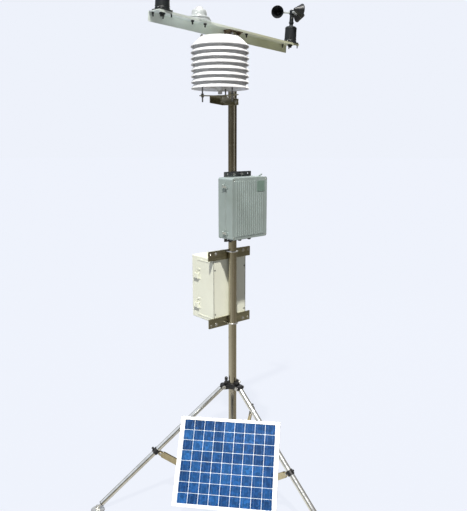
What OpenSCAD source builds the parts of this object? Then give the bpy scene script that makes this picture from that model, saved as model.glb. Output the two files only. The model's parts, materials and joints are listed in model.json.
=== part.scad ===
// Tripod weather station: mast, crossarm with wind and sun sensors, louvred shield,
// logger box, battery box, tilting solar panel and a folding tripod.
// Millimetres, +Z up, origin on the mast axis at the ground. -Y is the front.

/* [Mast] */
// Outside diameter of the mast tube
mast_d = 38; // [32:1:50]
// Wall of the mast tube
mast_wall = 2; // [1.5:0.5:4]
// Height of the top of the mast tube
mast_top = 2190; // [1800:10:2400]

/* [Crossarm] */
// Direction of the arm's right end, seen from above
arm_azimuth = 46.6; // [0:0.2:90]
// Lean of the arm and its sensors to the right, in degrees
arm_lean = 2.6; // [0:0.1:4]
// Length from the mast to the left end
arm_left = 441; // [300:1:500]
// Length from the mast to the right end
arm_right = 414; // [300:1:500]
// Width of the arm's flat top
arm_width = 68; // [55:1:90]
// Depth of the arm's rear web
arm_web = 37; // [25:1:60]
// Sheet thickness of the arm
arm_sheet = 3; // [2:0.5:5]

/* [Sensors] */
// Wind vane axis, distance from the mast along the arm
vane_at = -400; // [-420:1:-250]
// Sun sensor axis, distance from the mast along the arm
sun_at = -209; // [-300:1:-120]
// Cup sensor axis, distance from the mast along the arm
cups_at = 388; // [250:1:400]
// Diameter of the wind sensor housings
wind_d = 56; // [45:1:70]
// Height of the wind sensor housings
wind_h = 70; // [50:1:100]
// Distance from the cup sensor's axis to each cup's centre
cup_reach = 68; // [50:1:90]
// Diameter of a cup's mouth
cup_d = 57; // [40:1:64]
// Length of the vane's tail, from its axis
vane_tail_l = 190; // [120:1:220]

/* [Louvred shield] */
// Direction of the shield from the mast
shield_azimuth = 252; // [180:1:360]
// Distance from the mast axis to the shield's axis
shield_reach = 165; // [150:1:220]
// Diameter of the louvre rims
louvre_d = 238; // [180:1:260]
// Number of louvres between the cap and the base plate
louvre_count = 6; // [4:1:10]
// Distance from one rim to the next
louvre_pitch = 23.4; // [18:0.2:30]
// Height of the base plate's rim
shield_low = 1941; // [1700:1:2000]

/* [Logger box] */
// Direction the logger box faces, turned from the front
logger_turn = 43; // [0:1:90]
// Width of the logger box
logger_w = 212; // [160:1:260]
// Depth of the logger box
logger_d = 90; // [70:1:130]
// Height of the logger box
logger_h = 268; // [200:1:320]
// Height of its underside above the ground
logger_low = 1308; // [1280:1:1400]
// Number of ribs on its lid
rib_count = 14; // [6:1:18]

/* [Battery box] */
// Direction the battery box faces, turned from the front
battery_turn = 220; // [180:1:260]
// Width of the battery box
battery_w = 196; // [180:1:240]
// Depth of the battery box
battery_d = 162; // [130:1:200]
// Height of the battery box
battery_h = 305; // [240:1:320]
// Height of its underside above the ground
battery_low = 896; // [850:1:950]

/* [Solar panel] */
// Turn of the panel about the mast
panel_turn = -7.8; // [-20:0.2:20]
// Slope of the panel from level
panel_tilt = 54; // [45:1:65]
// Width of the panel
panel_w = 455; // [400:1:500]
// Height of the panel along its slope
panel_h = 383; // [330:1:400]
// Cells across the panel
cell_columns = 9; // [6:1:12]
// Cells up the panel
cell_rows = 8; // [4:1:10]

/* [Tripod] */
// Direction of the first leg
first_leg = 193.4; // [180:0.2:210]
// Distance from the mast axis to a leg's end on the ground
foot_reach = 662; // [560:1:720]
// Diameter of the leg tubes
leg_d = 25; // [20:1:30]
// Height of the leg hinges
hinge_z = 569.4; // [520:0.2:620]

/* [Hidden] */
// Piece to show, or "all"

$fn = 64;
eps = 0.01;
mast_r = mast_d / 2;
plug_h = 8;
fit = 0.05;           // radial running clearance of pins and sliding bores
gap = 0.4;            // gap between pieces that move past each other

// Arm: the mast stands in the corner between the flat top and the rear web
arm_z = mast_top + 9;
web_y = mast_r + arm_sheet + 0.2;
flat_front = web_y - arm_width;
sensor_y = web_y - arm_width / 2;
flange_d = 80;
cup_depth = 40;
cup_back = 26;        // from a cup's tip to the line of its arm
flange_bolt_r = 35;   // bolt circle of the wind sensors' flanges
clamp_at = 27;        // screws of the arm's saddle, each side of the mast
arm_bolt_at = mast_r + 5;
u_bolt_at = mast_r + 4.2;

// Shield
cap_rim_z = shield_low + louvre_pitch * (louvre_count + 1);
cap_h = 39;
rod_ring = 74;
rod_turns = [193, 313, 73];
rod_d = 6;
louvre_top = 18;      // height of a louvre's flat top above its rim
rod_low = shield_low - 53;
plate_z = shield_low - 29;

// Logger box
logger_back = mast_r + 10;
logger_side = -5;
base_depth = 0.54 * logger_d;
lid_depth = logger_d - base_depth;
parting_y = -logger_back - base_depth;
box_wall = 3.5;
rib_pitch = 12.4;
rib_from = -logger_w / 2 + 24;
bracket_w = 164;
latch_pin_r = 2;
latch_h = 10;
logger_latch_z = [-106, 96];

// Battery box
bar_t = 5;
bar_w = 251;
bar_h = 45;
bar_lows = [battery_low - 22, battery_low + battery_h - 7];
battery_bolt_z = [battery_low - 10, battery_low + battery_h + 30];
battery_back = mast_r + bar_t;
battery_side = -3.5;
door_depth = 36;
battery_latch_z = [-88, 56];
battery_latch_h = 21.6;
door_y = -battery_back - battery_d + door_depth;
hinge_r = 3;
hinge_out = 5.4;      // hinge axis of both boxes, out from their side wall

// Panel
frame_t = 25;
pivot_back = 70;      // from the glass back to the tilt pivot
panel_out = 290.7;
panel_z = 327;
panel_side = 14.6;
pivot_y = -panel_out + pivot_back * sin(panel_tilt);
pivot_z = panel_z - pivot_back * cos(panel_tilt);
frame_face = 19;
frame_face_h = 13;
pivot_r = 5;

// Tripod
hinge_r0 = 47;
foot_z = 14;
leg_slope = atan((foot_reach - hinge_r0) / (hinge_z - foot_z));
leg_length = norm([foot_reach - hinge_r0, hinge_z - foot_z]);
brace_share = 0.537;
collar_r0 = 36;
collar_z = 21.5;
pin_r = 4;
collar_pin_r = 3;
joint_drop = 24;
// where the line of a brace meets the leg's axis, as distance out and height
meet = [hinge_r0 + brace_share * (foot_reach - hinge_r0), hinge_z - brace_share * (hinge_z - foot_z)];
brace_run = [collar_r0 - meet[0], collar_z - meet[1]] / norm([collar_r0 - meet[0], collar_z - meet[1]]);
joint = meet + joint_drop * brace_run;
brace_length = norm([joint[0] - collar_r0, joint[1] - collar_z]);
brace_slope = atan((joint[1] - collar_z) / (joint[0] - collar_r0));
brace_w = 12;
brace_h = 28;
brace_wall = 2;
lug_t = brace_w - 2 * brace_wall - 2 * gap;   // lugs stand inside the braces' open ends
lug_r = 8;
loose_r = 6.6;        // bore of the brace's lower end, wide so that the fold stays free

// ---------- shared shapes ----------
module tube(r, inner, h) {
  difference() {
    cylinder(r = r, h = h);
    translate([0, 0, -1]) cylinder(r = inner, h = h + 2);
  }
}

module rounded(w, h, r) {
  square([w - 2 * r, h], center = true);
  square([w, h - 2 * r], center = true);
  for (x = [-1, 1], y = [-1, 1])
    translate([x * (w / 2 - r), y * (h / 2 - r)]) circle(r = r);
}

// A plate standing in the X-Z plane, its near face at y and its far face at y + t
module upright(w, h, r, t) {
  translate([0, t, 0]) rotate([90, 0, 0]) linear_extrude(t) rounded(w, h, r);
}

module nut(size, h) {
  cylinder(r = size / 2 / cos(30), h = h, $fn = 6);
}

module acorn_nut(size) {
  nut(size, size * 0.45);
  translate([0, 0, size * 0.45]) intersection() {
    sphere(r = size * 0.45);
    cylinder(r = size, h = size);
  }
}

module screw(d, length) {
  cylinder(r = d, h = d * 0.7);
  translate([0, 0, -length]) cylinder(r = d / 2, h = length + eps);
}

// A U-bolt round the mast, its legs pointing to -Y and its nuts at nut_y
module u_bolt(nut_y, d = 8, r = mast_r + 0.2, nuts = 7) {
  ring = r + d / 2;
  rotate_extrude(angle = 180) translate([ring, 0]) circle(r = d / 2, $fn = 24);
  for (x = [-ring, ring]) translate([x, 0, 0]) rotate([90, 0, 0]) {
    cylinder(r = d / 2, h = nut_y + nuts + 5, $fn = 24);
    translate([0, 0, nut_y]) nut(d * 1.6, nuts);
  }
}

module on_arm(at = 0, y = 0, z = 0) {
  translate([0, 0, arm_z]) rotate([0, arm_lean, 0]) rotate([0, 0, arm_azimuth])
    translate([at, y, z]) children();
}

module at_shield(z = 0) {
  rotate([0, 0, shield_azimuth]) translate([shield_reach, 0, z]) children();
}

module at_rods() {
  for (a = rod_turns) at_shield() rotate([0, 0, a - shield_azimuth])
    translate([rod_ring, 0, 0]) children();
}

module at_logger() { rotate([0, 0, logger_turn]) children(); }
module at_battery() { rotate([0, 0, battery_turn]) children(); }

module at_panel() {
  rotate([0, 0, panel_turn]) translate([panel_side, pivot_y, pivot_z])
    rotate([panel_tilt - 90, 0, 0]) translate([0, -pivot_back, 0]) children();
}

module at_leg(i) {
  rotate([0, 0, first_leg + 120 * (i - 1)]) children();
}

// Along a leg: the hinge at the origin, the tube running down -Z
module down_leg(i) {
  at_leg(i) translate([hinge_r0, 0, hinge_z]) rotate([0, -leg_slope, 0]) children();
}

// ---------- mast ----------
module mast_tube() {
  color([0.52, 0.47, 0.39]) translate([0, 0, plug_h]) tube(mast_r, mast_r - mast_wall, mast_top - plug_h);
}

module mast_base_plug() {
  color([0.08, 0.08, 0.08]) {
    cylinder(r = mast_r + 4, h = plug_h);
    difference() {
      cylinder(r = mast_r - mast_wall - 0.1, h = plug_h + 40);
      translate([0, 0, plug_h]) cylinder(r = mast_r - mast_wall - 3, h = 50);
    }
  }
}

module lower_collar() {
  pin_l = brace_w + 6;
  color([0.1, 0.1, 0.1]) difference() {
    union() {
      translate([0, 0, plug_h + 1]) cylinder(r = mast_r + 4.5, h = 25);
      for (i = [1:3]) at_leg(i) translate([0, 0, collar_z]) rotate([90, 0, 0]) {
        translate([collar_r0, 0, -lug_t / 2]) cylinder(r = lug_r, h = lug_t);
        translate([0, -lug_r, -lug_t / 2]) cube([collar_r0, 2 * lug_r, lug_t]);
        translate([collar_r0, 0, -pin_l / 2]) cylinder(r = collar_pin_r, h = pin_l);
      }
    }
    translate([0, 0, -1]) cylinder(r = mast_r + fit, h = 60);
  }
}

// ---------- crossarm and sensors ----------
module crossarm() {
  color([0.68, 0.72, 0.66]) on_arm() difference() {
    union() {
      translate([-arm_left, flat_front, -arm_sheet]) cube([arm_left + arm_right, arm_width, arm_sheet]);
      translate([-arm_left, web_y - arm_sheet, -arm_web])
        cube([arm_left + arm_right - 14, arm_sheet, arm_web - arm_sheet + eps]);
      translate([-arm_left, flat_front, -arm_sheet - 6]) cube([arm_left + arm_right, 1.5, 6 + eps]);
    }
    for (a = [vane_at, cups_at]) translate([a, sensor_y, -arm_sheet - 1]) {
      cylinder(r = 12, h = arm_sheet + 2);
      for (k = [45:90:315]) rotate([0, 0, k]) translate([flange_bolt_r, 0, 0])
        cylinder(r = 2.6, h = arm_sheet + 2, $fn = 32);
    }
    for (x = [-clamp_at, clamp_at]) translate([x, -12, -arm_sheet - 1])
      cylinder(r = 3.1, h = arm_sheet + 2, $fn = 32);
    for (x = [-35, 35]) translate([sun_at + x, sensor_y, -arm_sheet - 1])
      cylinder(r = 2.6, h = arm_sheet + 2, $fn = 32);
    for (x = [100, 160, 240]) translate([x, sensor_y, -arm_sheet - 1])
      cylinder(r = 3.2, h = arm_sheet + 2, $fn = 32);
    for (x = [-1, 1]) translate([x * arm_bolt_at, web_y + 1, -24]) rotate([90, 0, 0])
      cylinder(r = 4.3, h = 8, $fn = 32);
  }
}

module arm_clamp() {
  saddle = 76;
  color([0.36, 0.29, 0.24]) on_arm() {
    difference() {
      translate([-saddle / 2, -mast_r - 8, -arm_sheet - 5]) cube([saddle, mast_r + 8 + 16, 5]);
      for (x = [-clamp_at, clamp_at]) translate([x, -12, -20]) cylinder(r = 3.1, h = 30, $fn = 32);
    }
    for (x = [-clamp_at, clamp_at]) translate([x, -12, 0]) {
      screw(6, 19);
      translate([0, 0, -arm_sheet - 10.2]) nut(10, 5);
    }
    for (s = [-1, 1]) translate([s * 33, 0, -arm_sheet - 5]) rotate([0, 90, 0])
      translate([0, 0, -1.5]) linear_extrude(3) polygon([[-eps, -24], [-eps, 15], [24, 15], [24, 8]]);
  }
}

module arm_u_bolts() {
  color([0.62, 0.61, 0.58]) on_arm(0, 0, -24) {
    rotate([0, 0, 180]) rotate_extrude(angle = 180) translate([arm_bolt_at, 0]) circle(r = 3.5, $fn = 24);
    for (x = [-arm_bolt_at, arm_bolt_at]) translate([x, 0, 0]) rotate([-90, 0, 0]) {
      cylinder(r = 3.5, h = web_y + 12, $fn = 24);
      translate([0, 0, web_y + 0.2]) nut(12, 6);
    }
  }
}

module sensor_housing(at) {
  on_arm(at, sensor_y, 7.5) difference() {
    rotate_extrude() polygon([
      [0, 0], [wind_d / 2 + 1, 0], [wind_d / 2 + 1, 6], [wind_d / 2, 9], [wind_d / 2 - 1, wind_h - 5],
      [wind_d / 2 - 6, wind_h], [11, wind_h], [9, wind_h + 5], [9, wind_h + 14], [0, wind_h + 14]
    ]);
    translate([0, 0, wind_h - 20]) cylinder(r = 4 + fit, h = 60);
  }
}

module sensor_flange(at) {
  on_arm(at, sensor_y, 0) {
    cylinder(r = flange_d / 2, h = 4);
    translate([0, 0, 4]) cylinder(r = wind_d / 2 + 2, h = 3.5);
    translate([0, 0, -8]) cylinder(r = 11.5, h = 8 + eps);
    for (k = [45:90:315]) rotate([0, 0, k]) translate([flange_bolt_r, 0, 0]) {
      translate([0, 0, 4]) cylinder(r = 4.4, h = 3);
      translate([0, 0, -18]) cylinder(r = 2.5, h = 23, $fn = 32);
      translate([0, 0, -arm_sheet - 4.2]) nut(8, 4);
    }
  }
}

module vane_body() { color([0.1, 0.12, 0.13]) sensor_housing(vane_at); }
module vane_flange() { color([0.1, 0.12, 0.13]) sensor_flange(vane_at); }
module cup_body() { color([0.1, 0.12, 0.13]) sensor_housing(cups_at); }
module cup_flange() { color([0.1, 0.12, 0.13]) sensor_flange(cups_at); }

// Spindle of a wind sensor, standing in its housing
module spindle(at, hub_r, hub_h) {
  on_arm(at, sensor_y, 7.5) {
    translate([0, 0, wind_h - 19]) cylinder(r = 4, h = 37);
    translate([0, 0, wind_h + 14 + gap]) cylinder(r = 11.5, h = 7);
    translate([0, 0, wind_h + 21]) cylinder(r = 9.5, h = 34);
    translate([0, 0, wind_h + 55 - eps]) cylinder(r = hub_r, h = hub_h);
  }
}

module vane_rotor() {
  color([0.12, 0.13, 0.14]) {
    spindle(vane_at, 13, 20);
    on_arm(vane_at, sensor_y, 7.5 + wind_h + 75) translate([0, 0, -eps]) cylinder(r1 = 13, r2 = 7, h = 6);
  }
}

module vane_tail() {
  weight_l = 92;
  color([0.12, 0.13, 0.14]) on_arm(vane_at, sensor_y, 7.5 + wind_h + 65) {
    rotate([0, 0, 14]) {
      difference() {
        translate([-weight_l, 0, 0]) rotate([0, 90, 0])
          cylinder(r = 4, h = weight_l + vane_tail_l - 100, $fn = 32);
        cylinder(r = 13, h = 40, center = true);
      }
      translate([-weight_l, 0, 0]) rotate([0, -90, 0]) rotate_extrude()
        polygon([[0, -16], [11, -16], [11, 6], [7, 22], [3, 28], [0, 29]]);
      translate([0, 1.5, 0]) rotate([90, 0, 0]) linear_extrude(3) polygon([
        [vane_tail_l - 112, -4], [vane_tail_l - 60, -46], [vane_tail_l, -46], [vane_tail_l - 18, 0],
        [vane_tail_l, 46], [vane_tail_l - 60, 46], [vane_tail_l - 112, 4]
      ]);
    }
  }
}

cup_angles = [0, 120, 240];
rotor_turn = 173 - arm_azimuth;
rotor_z = 7.5 + wind_h + 63;

// The cups' places on the rotor, each mouth along +Z
module at_cups() {
  on_arm(cups_at, sensor_y, rotor_z) rotate([0, 0, rotor_turn])
    for (a = cup_angles) rotate([0, 0, a]) translate([cup_reach, 0, 0]) rotate([-90, 0, 0])
      translate([0, 0, -cup_back]) children();
}

module cup_outside() {
  rotate_extrude() polygon([
    [0, -2], [6, 0], [cup_d / 2 - 1, cup_depth - 4], [cup_d / 2, cup_depth - 3],
    [cup_d / 2, cup_depth], [0, cup_depth]
  ]);
}

module cup_rotor() {
  color([0.12, 0.13, 0.14]) {
    spindle(cups_at, 12, 16);
    on_arm(cups_at, sensor_y, 0) rotate([0, 0, rotor_turn])
      translate([0, 0, rotor_z + 8 - eps]) cylinder(r1 = 12, r2 = 8, h = 4);
    // each arm ends on the slanting wall of its cup
    difference() {
      on_arm(cups_at, sensor_y, rotor_z) rotate([0, 0, rotor_turn]) for (a = cup_angles)
        rotate([0, 0, a]) translate([10, 0, 0]) rotate([0, 90, 0]) cylinder(r = 4, h = 40, $fn = 32);
      at_cups() cup_outside();
    }
  }
}

module cups() {
  wall = 1.6;
  color([0.09, 0.1, 0.11]) at_cups() difference() {
    cup_outside();
    rotate_extrude() polygon([
      [0, wall - 0.4], [5, wall], [cup_d / 2 - wall - 1, cup_depth - 4],
      [cup_d / 2 - wall, cup_depth], [cup_d / 2 - wall, cup_depth + 1], [0, cup_depth + 1]
    ]);
  }
}

module sun_base() {
  color([0.8, 0.82, 0.82]) on_arm(sun_at, sensor_y, 0) {
    cylinder(r = 49, h = 5);
    for (k = [0:2]) rotate([0, 0, 120 * k + 30]) translate([36, 0, 5 - eps]) cylinder(r = 5, h = 4, $fn = 32);
    translate([0, 0, 9 - 2 * eps]) cylinder(r = 44, h = 5);
    for (x = [-35, 35]) translate([x, 0, 0]) {
      translate([0, 0, -17]) cylinder(r = 2.5, h = 18, $fn = 32);
      translate([0, 0, -arm_sheet - 5]) nut(9, 4.8);
    }
  }
}

module sun_body() {
  color([0.78, 0.81, 0.82]) on_arm(sun_at, sensor_y, 14) rotate_extrude()
    polygon([[0, 0], [32, 0], [32, 3], [31, 5], [30, 22], [28.5, 26], [25, 29], [21, 30], [0, 30]]);
}

module sun_dome() {
  color([0.88, 0.92, 0.94, 0.6]) on_arm(sun_at, sensor_y, 38) difference() {
    sphere(r = 19, $fn = 64);
    sphere(r = 17.2, $fn = 64);
    translate([0, 0, -24]) cube([60, 60, 60], center = true);
  }
}

// ---------- louvred shield ----------
module louvre(high, edge, hole) {
  wall = 2.6;
  r = louvre_d / 2;
  rotate_extrude($fn = 96) polygon([
    [r, 0], [r, 1.6], [r - 12, high], [hole, high], [hole, high - wall],
    [r - 14.5, high - wall], [r - edge, 0]
  ]);
}

module shield_cap() {
  r = louvre_d / 2;
  color([0.93, 0.94, 0.95]) at_shield(cap_rim_z) difference() {
    rotate_extrude($fn = 96) polygon([
      [r, 0], [r, 2], [r - 9, 13], [86, cap_h - 5], [78, cap_h], [0, cap_h], [0, cap_h - 3],
      [77, cap_h - 3], [84, cap_h - 8], [r - 12, 11], [r - 4, 0]
    ]);
    rod_holes();
  }
}

module rod_holes() {
  for (a = rod_turns) rotate([0, 0, a - shield_azimuth]) translate([rod_ring, 0, -20])
    cylinder(r = rod_d / 2 + fit, h = 80, $fn = 32);
}

module shield_louvres() {
  color([0.93, 0.94, 0.95]) for (k = [1:louvre_count])
    at_shield(shield_low + k * louvre_pitch) difference() {
      louvre(louvre_top, 5, 48);
      rod_holes();
    }
}

module shield_base_plate() {
  color([0.93, 0.94, 0.95]) at_shield(shield_low) difference() {
    union() {
      louvre(louvre_top, 5, 16);
      translate([0, 0, 6]) cylinder(r = 92, h = louvre_top - 8);
    }
    rod_holes();
    cylinder(r = 16, h = 40);
  }
}

module shield_rods() {
  top = cap_rim_z + cap_h;
  color([0.3, 0.3, 0.3]) at_rods() {
    translate([0, 0, rod_low]) cylinder(r = rod_d / 2, h = top - rod_low + 2, $fn = 32);
    translate([0, 0, top + eps]) acorn_nut(11);
    translate([0, 0, plate_z - 5.2]) nut(10, 5);
    translate([0, 0, plate_z + 3.2]) nut(10, 5);
    // spacers between the louvres, the last one under the cap
    for (k = [0:louvre_count]) translate([0, 0, shield_low + louvre_top + k * louvre_pitch + 0.2])
      tube(5.5, rod_d / 2 - eps, (k < louvre_count ? 0 : cap_h - louvre_top - 2.2) + louvre_pitch - 3.2);
  }
}

module shield_support_plate() {
  color([0.45, 0.4, 0.33]) difference() {
    at_shield(plate_z) union() {
      cylinder(r = 30, h = 3);
      for (a = rod_turns) rotate([0, 0, a - shield_azimuth]) {
        translate([20, -12.8, 0]) cube([rod_ring - 20, 25.6, 3]);
        translate([rod_ring, 0, 0]) cylinder(r = 13, h = 3);
      }
      // the corner by the mast's side runs on past its rod
      rotate([0, 0, rod_turns[1] - shield_azimuth]) {
        translate([rod_ring - 2, -10, 0]) cube([24, 20, 3]);
        translate([rod_ring + 22, 0, 0]) cylinder(r = 10.2, h = 3);
      }
    }
    at_rods() translate([0, 0, plate_z - 1]) cylinder(r = rod_d / 2 + fit, h = 6, $fn = 32);
    at_shield(plate_z - 1) cylinder(r = 9, h = 6);
  }
}

module shield_bracket() {
  near_side = 13;
  far_side = 38;
  high = 27 - 0.05;
  low = plate_z - 27;
  color([0.48, 0.43, 0.35]) rotate([0, 0, shield_azimuth]) {
    difference() {
      union() {
        translate([mast_r + 0.5, -far_side, low])
          cube([shield_reach - mast_r + 22, far_side + near_side, high]);
        translate([mast_r + 0.5, -34, low]) cube([4, 68, high]);
      }
      translate([mast_r + 4.5, 3 - far_side, low - 1])
        cube([shield_reach, far_side + near_side - 6, high - 2]);
      translate([shield_reach, 0, low - 1]) cylinder(r = 9, h = 60);
      // room for the rear rod and its nut
      translate([shield_reach - rod_ring, -1.3, low - 1]) cylinder(r = 7.2, h = 60);
      for (s = [-1, 1]) translate([0, s * u_bolt_at, plate_z - 13.5]) rotate([0, 90, 0])
        cylinder(r = 4.2, h = 60, $fn = 32);
    }
  }
}

module shield_u_bolt() {
  color([0.62, 0.61, 0.58]) rotate([0, 0, shield_azimuth + 90]) translate([0, 0, plate_z - 13.5])
    u_bolt(mast_r + 4.6);
}

module shield_probe() {
  color([0.85, 0.86, 0.86]) at_shield() {
    translate([0, 0, shield_low + louvre_top + 1]) cylinder(r = 8, h = 91);
    translate([0, 0, shield_low + 110 - eps]) cylinder(r1 = 8, r2 = 4, h = 8);
    translate([0, 0, shield_low - 6]) cylinder(r = 15.9, h = louvre_top + 7 + eps);
    translate([0, 0, shield_low - 20]) cylinder(r = 8.5, h = 14 + eps);
  }
}

// ---------- logger box ----------
module logger_base() {
  color([0.57, 0.62, 0.6]) at_logger() translate([logger_side, 0, logger_low + logger_h / 2]) {
    difference() {
      translate([0, parting_y, 0]) upright(logger_w, logger_h, 9, base_depth);
      translate([0, parting_y - 1, 0])
        upright(logger_w - 2 * box_wall, logger_h - 2 * box_wall, 6, base_depth + 1 - box_wall);
      for (x = [-60, 0, 60]) translate([x, parting_y + base_depth / 2, -logger_h / 2 - 1])
        cylinder(r = 8, h = 12);
    }
    // raised bead beside the parting line, and the ears of the hinge and the latches
    for (s = [-1, 1]) translate([s * (logger_w / 2 - 0.5), parting_y + (s < 0 ? 4 : 9), 0])
      cube([4, 5, logger_h - 30], center = true);
    translate([logger_w / 2 + hinge_out, parting_y, 0]) for (z = [-80, 80]) translate([0, 0, z]) {
      translate([0, 0, -26]) tube(5, hinge_r + fit, 17);
      translate([0, 0, 9]) tube(5, hinge_r + fit, 17);
      for (k = [-26, 9]) translate([-6, 4.2, k]) cube([5, 6, 17]);
    }
    for (z = logger_latch_z, k = [-latch_h / 2 - 3.3, latch_h / 2 + 0.3])
      translate([-logger_w / 2 - 5, parting_y + 12, z + k]) difference() {
        union() {
          cylinder(r = 4, h = 3);
          translate([0, -4, 0]) cube([6, 8, 3]);
        }
        translate([0, 0, -1]) cylinder(r = latch_pin_r + fit, h = 5, $fn = 32);
      }
  }
}

module logger_board() {
  color([0.1, 0.3, 0.17]) at_logger()
  translate([logger_side, -logger_back - box_wall, logger_low + logger_h / 2]) {
    translate([0, -9.6, 0]) upright(160, 210, 3, 1.6);
    for (x = [-70, 70], z = [-95, 95]) translate([x, 0, z]) rotate([90, 0, 0])
      cylinder(r = 4, h = 8.1, $fn = 32);
    for (k = [0:3]) translate([-60 + 36 * k, -19, -80]) cube([30, 9.5, 16]);
    translate([-50, -16, -10]) cube([46, 6.5, 46]);
    translate([18, -20, 10]) cube([40, 10.5, 60]);
  }
}

module logger_brackets() {
  color([0.3, 0.31, 0.33]) at_logger() for (z = [logger_low - 22, logger_low + logger_h - 24])
    translate([logger_side + 12, -logger_back, z + 23]) difference() {
      upright(bracket_w, 46, 3, 4);
      for (s = [-1, 1]) translate([-logger_side - 12 + s * u_bolt_at, 8, z < logger_low ? -11 : 11])
        rotate([90, 0, 0]) cylinder(r = 4.3, h = 20, $fn = 32);
      for (s = [-1, 1]) translate([s * 62, 8, z < logger_low ? -13 : 13]) rotate([90, 0, 0])
        cylinder(r = 4, h = 20, $fn = 32);
    }
}

// U-bolts with the saddle blocks that hold the box off the mast
module logger_u_bolts() {
  saddle_w = 32;
  color([0.66, 0.65, 0.62]) at_logger()
    for (z = [logger_low - 10, logger_low + logger_h + 10]) translate([0, 0, z]) {
      u_bolt(logger_back + 0.2);
      difference() {
        translate([-saddle_w / 2, -logger_back + 4.1, -7]) cube([saddle_w, logger_back - 18, 14]);
        cylinder(r = mast_r + fit, h = 20, center = true);
      }
    }
}

module logger_lid() {
  knuckle = 17.4;
  color([0.57, 0.62, 0.6]) at_logger() translate([logger_side, 0, logger_low + logger_h / 2]) {
    difference() {
      translate([0, parting_y - lid_depth, 0]) upright(logger_w, logger_h, 9, lid_depth - gap);
      translate([0, parting_y - lid_depth + box_wall, 0])
        upright(logger_w - 2 * box_wall, logger_h - 2 * box_wall, 6, lid_depth);
    }
    // the last four ribs stop below the nameplate
    for (k = [0:rib_count - 1]) {
      short = k > rib_count - 5;
      translate([rib_from + k * rib_pitch, parting_y - lid_depth - 1.25, short ? -26 : 0])
        cube([5.5, 2.6, logger_h - (short ? 82 : 28)], center = true);
    }
    // hinge knuckles and their pins
    translate([logger_w / 2 + hinge_out, parting_y, 0]) for (z = [-80, 80]) translate([0, 0, z]) {
      translate([0, 0, -knuckle / 2]) cylinder(r = 5, h = knuckle);
      translate([0, 0, -30]) cylinder(r = hinge_r, h = 60, $fn = 32);
      for (k = [-30.2, 26.2]) translate([0, 0, k]) cylinder(r = 4.5, h = 4);
      translate([-6, -11, -knuckle / 2]) cube([5, 10.8, knuckle]);
    }
    // small slanting padlock ear on top
    translate([logger_w / 2 - 26, parting_y - 18, logger_h / 2 - 1]) difference() {
      union() {
        translate([-4, -2.5, 0]) cube([8, 5, 4.6]);
        translate([0, -2, 1]) rotate([0, -24, 0]) cube([19, 4, 5]);
      }
      translate([14, 3, 9.4]) rotate([90, 0, 0]) cylinder(r = 1.5, h = 6, $fn = 32);
    }
    for (z = logger_latch_z) translate([-logger_w / 2 - 1.5, parting_y - 12, z])
      cube([3.2, 6, latch_h], center = true);
  }
}

module logger_nameplate() {
  color([0.42, 0.5, 0.47]) at_logger()
    translate([logger_side + 66, parting_y - lid_depth - 1.5, logger_low + logger_h - 40])
      upright(46, 46, 2, 1.5);
}

module box_latch(reach, h) {
  cylinder(r = latch_pin_r, h = h + 6.6, center = true, $fn = 32);
  cylinder(r = 4, h = h, center = true);
  translate([-4.2, -reach, -h / 2]) cube([2.4, reach, h]);
  translate([-5.6, -reach - 3, -h / 2]) cube([3.8, 4, h]);
}

module logger_latch(z) {
  at_logger() translate([logger_side - logger_w / 2 - 5, parting_y + 12, logger_low + logger_h / 2 + z])
    box_latch(20, latch_h);
}

module logger_latch_top() { color([0.75, 0.77, 0.76]) logger_latch(logger_latch_z[1]); }
module logger_latch_bottom() { color([0.75, 0.77, 0.76]) logger_latch(logger_latch_z[0]); }

// ---------- battery box ----------
module battery_box_body() {
  depth = battery_d - door_depth;
  color([0.87, 0.86, 0.78]) at_battery() translate([battery_side, 0, battery_low + battery_h / 2]) {
    difference() {
      translate([0, -battery_back - depth, 0]) upright(battery_w, battery_h, 5, depth);
      translate([0, -battery_back - depth - 1, 0])
        upright(battery_w - 2 * box_wall, battery_h - 2 * box_wall, 3, depth + 1 - box_wall);
      for (x = [-50, 50]) translate([x, -battery_back - depth / 2, -battery_h / 2 - 1]) cylinder(r = 8, h = 12);
    }
    // raised rims round the sides near the top and the bottom
    for (z = [-1, 1], s = [-1, 1])
      translate([s * (battery_w / 2 - 0.5), -battery_back - depth / 2, z * (battery_h / 2 - 19)])
        cube([3.4, depth - 12, 5], center = true);
    translate([-battery_w / 2 - hinge_out, door_y, 0]) for (z = [-95, 95]) translate([0, 0, z]) {
      for (k = [-26, 9]) translate([0, 0, k]) {
        tube(5, hinge_r + fit, 17);
        translate([1, 4.2, 0]) cube([5, 6, 17]);
      }
    }
    for (z = battery_latch_z, k = [-battery_latch_h / 2 - 3.3, battery_latch_h / 2 + 0.3])
      translate([battery_w / 2 + 5, door_y + 14, z + k]) difference() {
        union() {
          cylinder(r = 4, h = 3);
          translate([-6, -4, 0]) cube([6, 8, 3]);
        }
        translate([0, 0, -1]) cylinder(r = latch_pin_r + fit, h = 5, $fn = 32);
      }
  }
}

module battery_bars() {
  color([0.42, 0.38, 0.3]) at_battery() for (k = [0, 1]) {
    translate([0, -battery_back, 0]) difference() {
      translate([0, 0, bar_lows[k] + bar_h / 2]) upright(bar_w, bar_h, 2, bar_t);
      for (s = [-1, 1]) translate([s * u_bolt_at, 10, battery_bolt_z[k]]) rotate([90, 0, 0])
        cylinder(r = 4.3, h = 30, $fn = 32);
    }
    // hexagon bolts into the box and round heads at the ends
    for (s = [-1, 1]) translate([0, -eps, bar_lows[k] + bar_h / 2 + (2 * k - 1) * 8]) rotate([-90, 0, 0]) {
      translate([s * (battery_w / 2 - 16), 0, -mast_r]) nut(10.4, 4.2);
      translate([s * (bar_w / 2 - 13), 0, -mast_r]) cylinder(r = 5, h = 3);
    }
  }
}

module battery_u_bolts() {
  color([0.66, 0.65, 0.62]) at_battery() for (z = battery_bolt_z) translate([0, 0, z])
    u_bolt(battery_back + 0.2, 6, mast_r + 1.2, 4.5);
}

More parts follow.
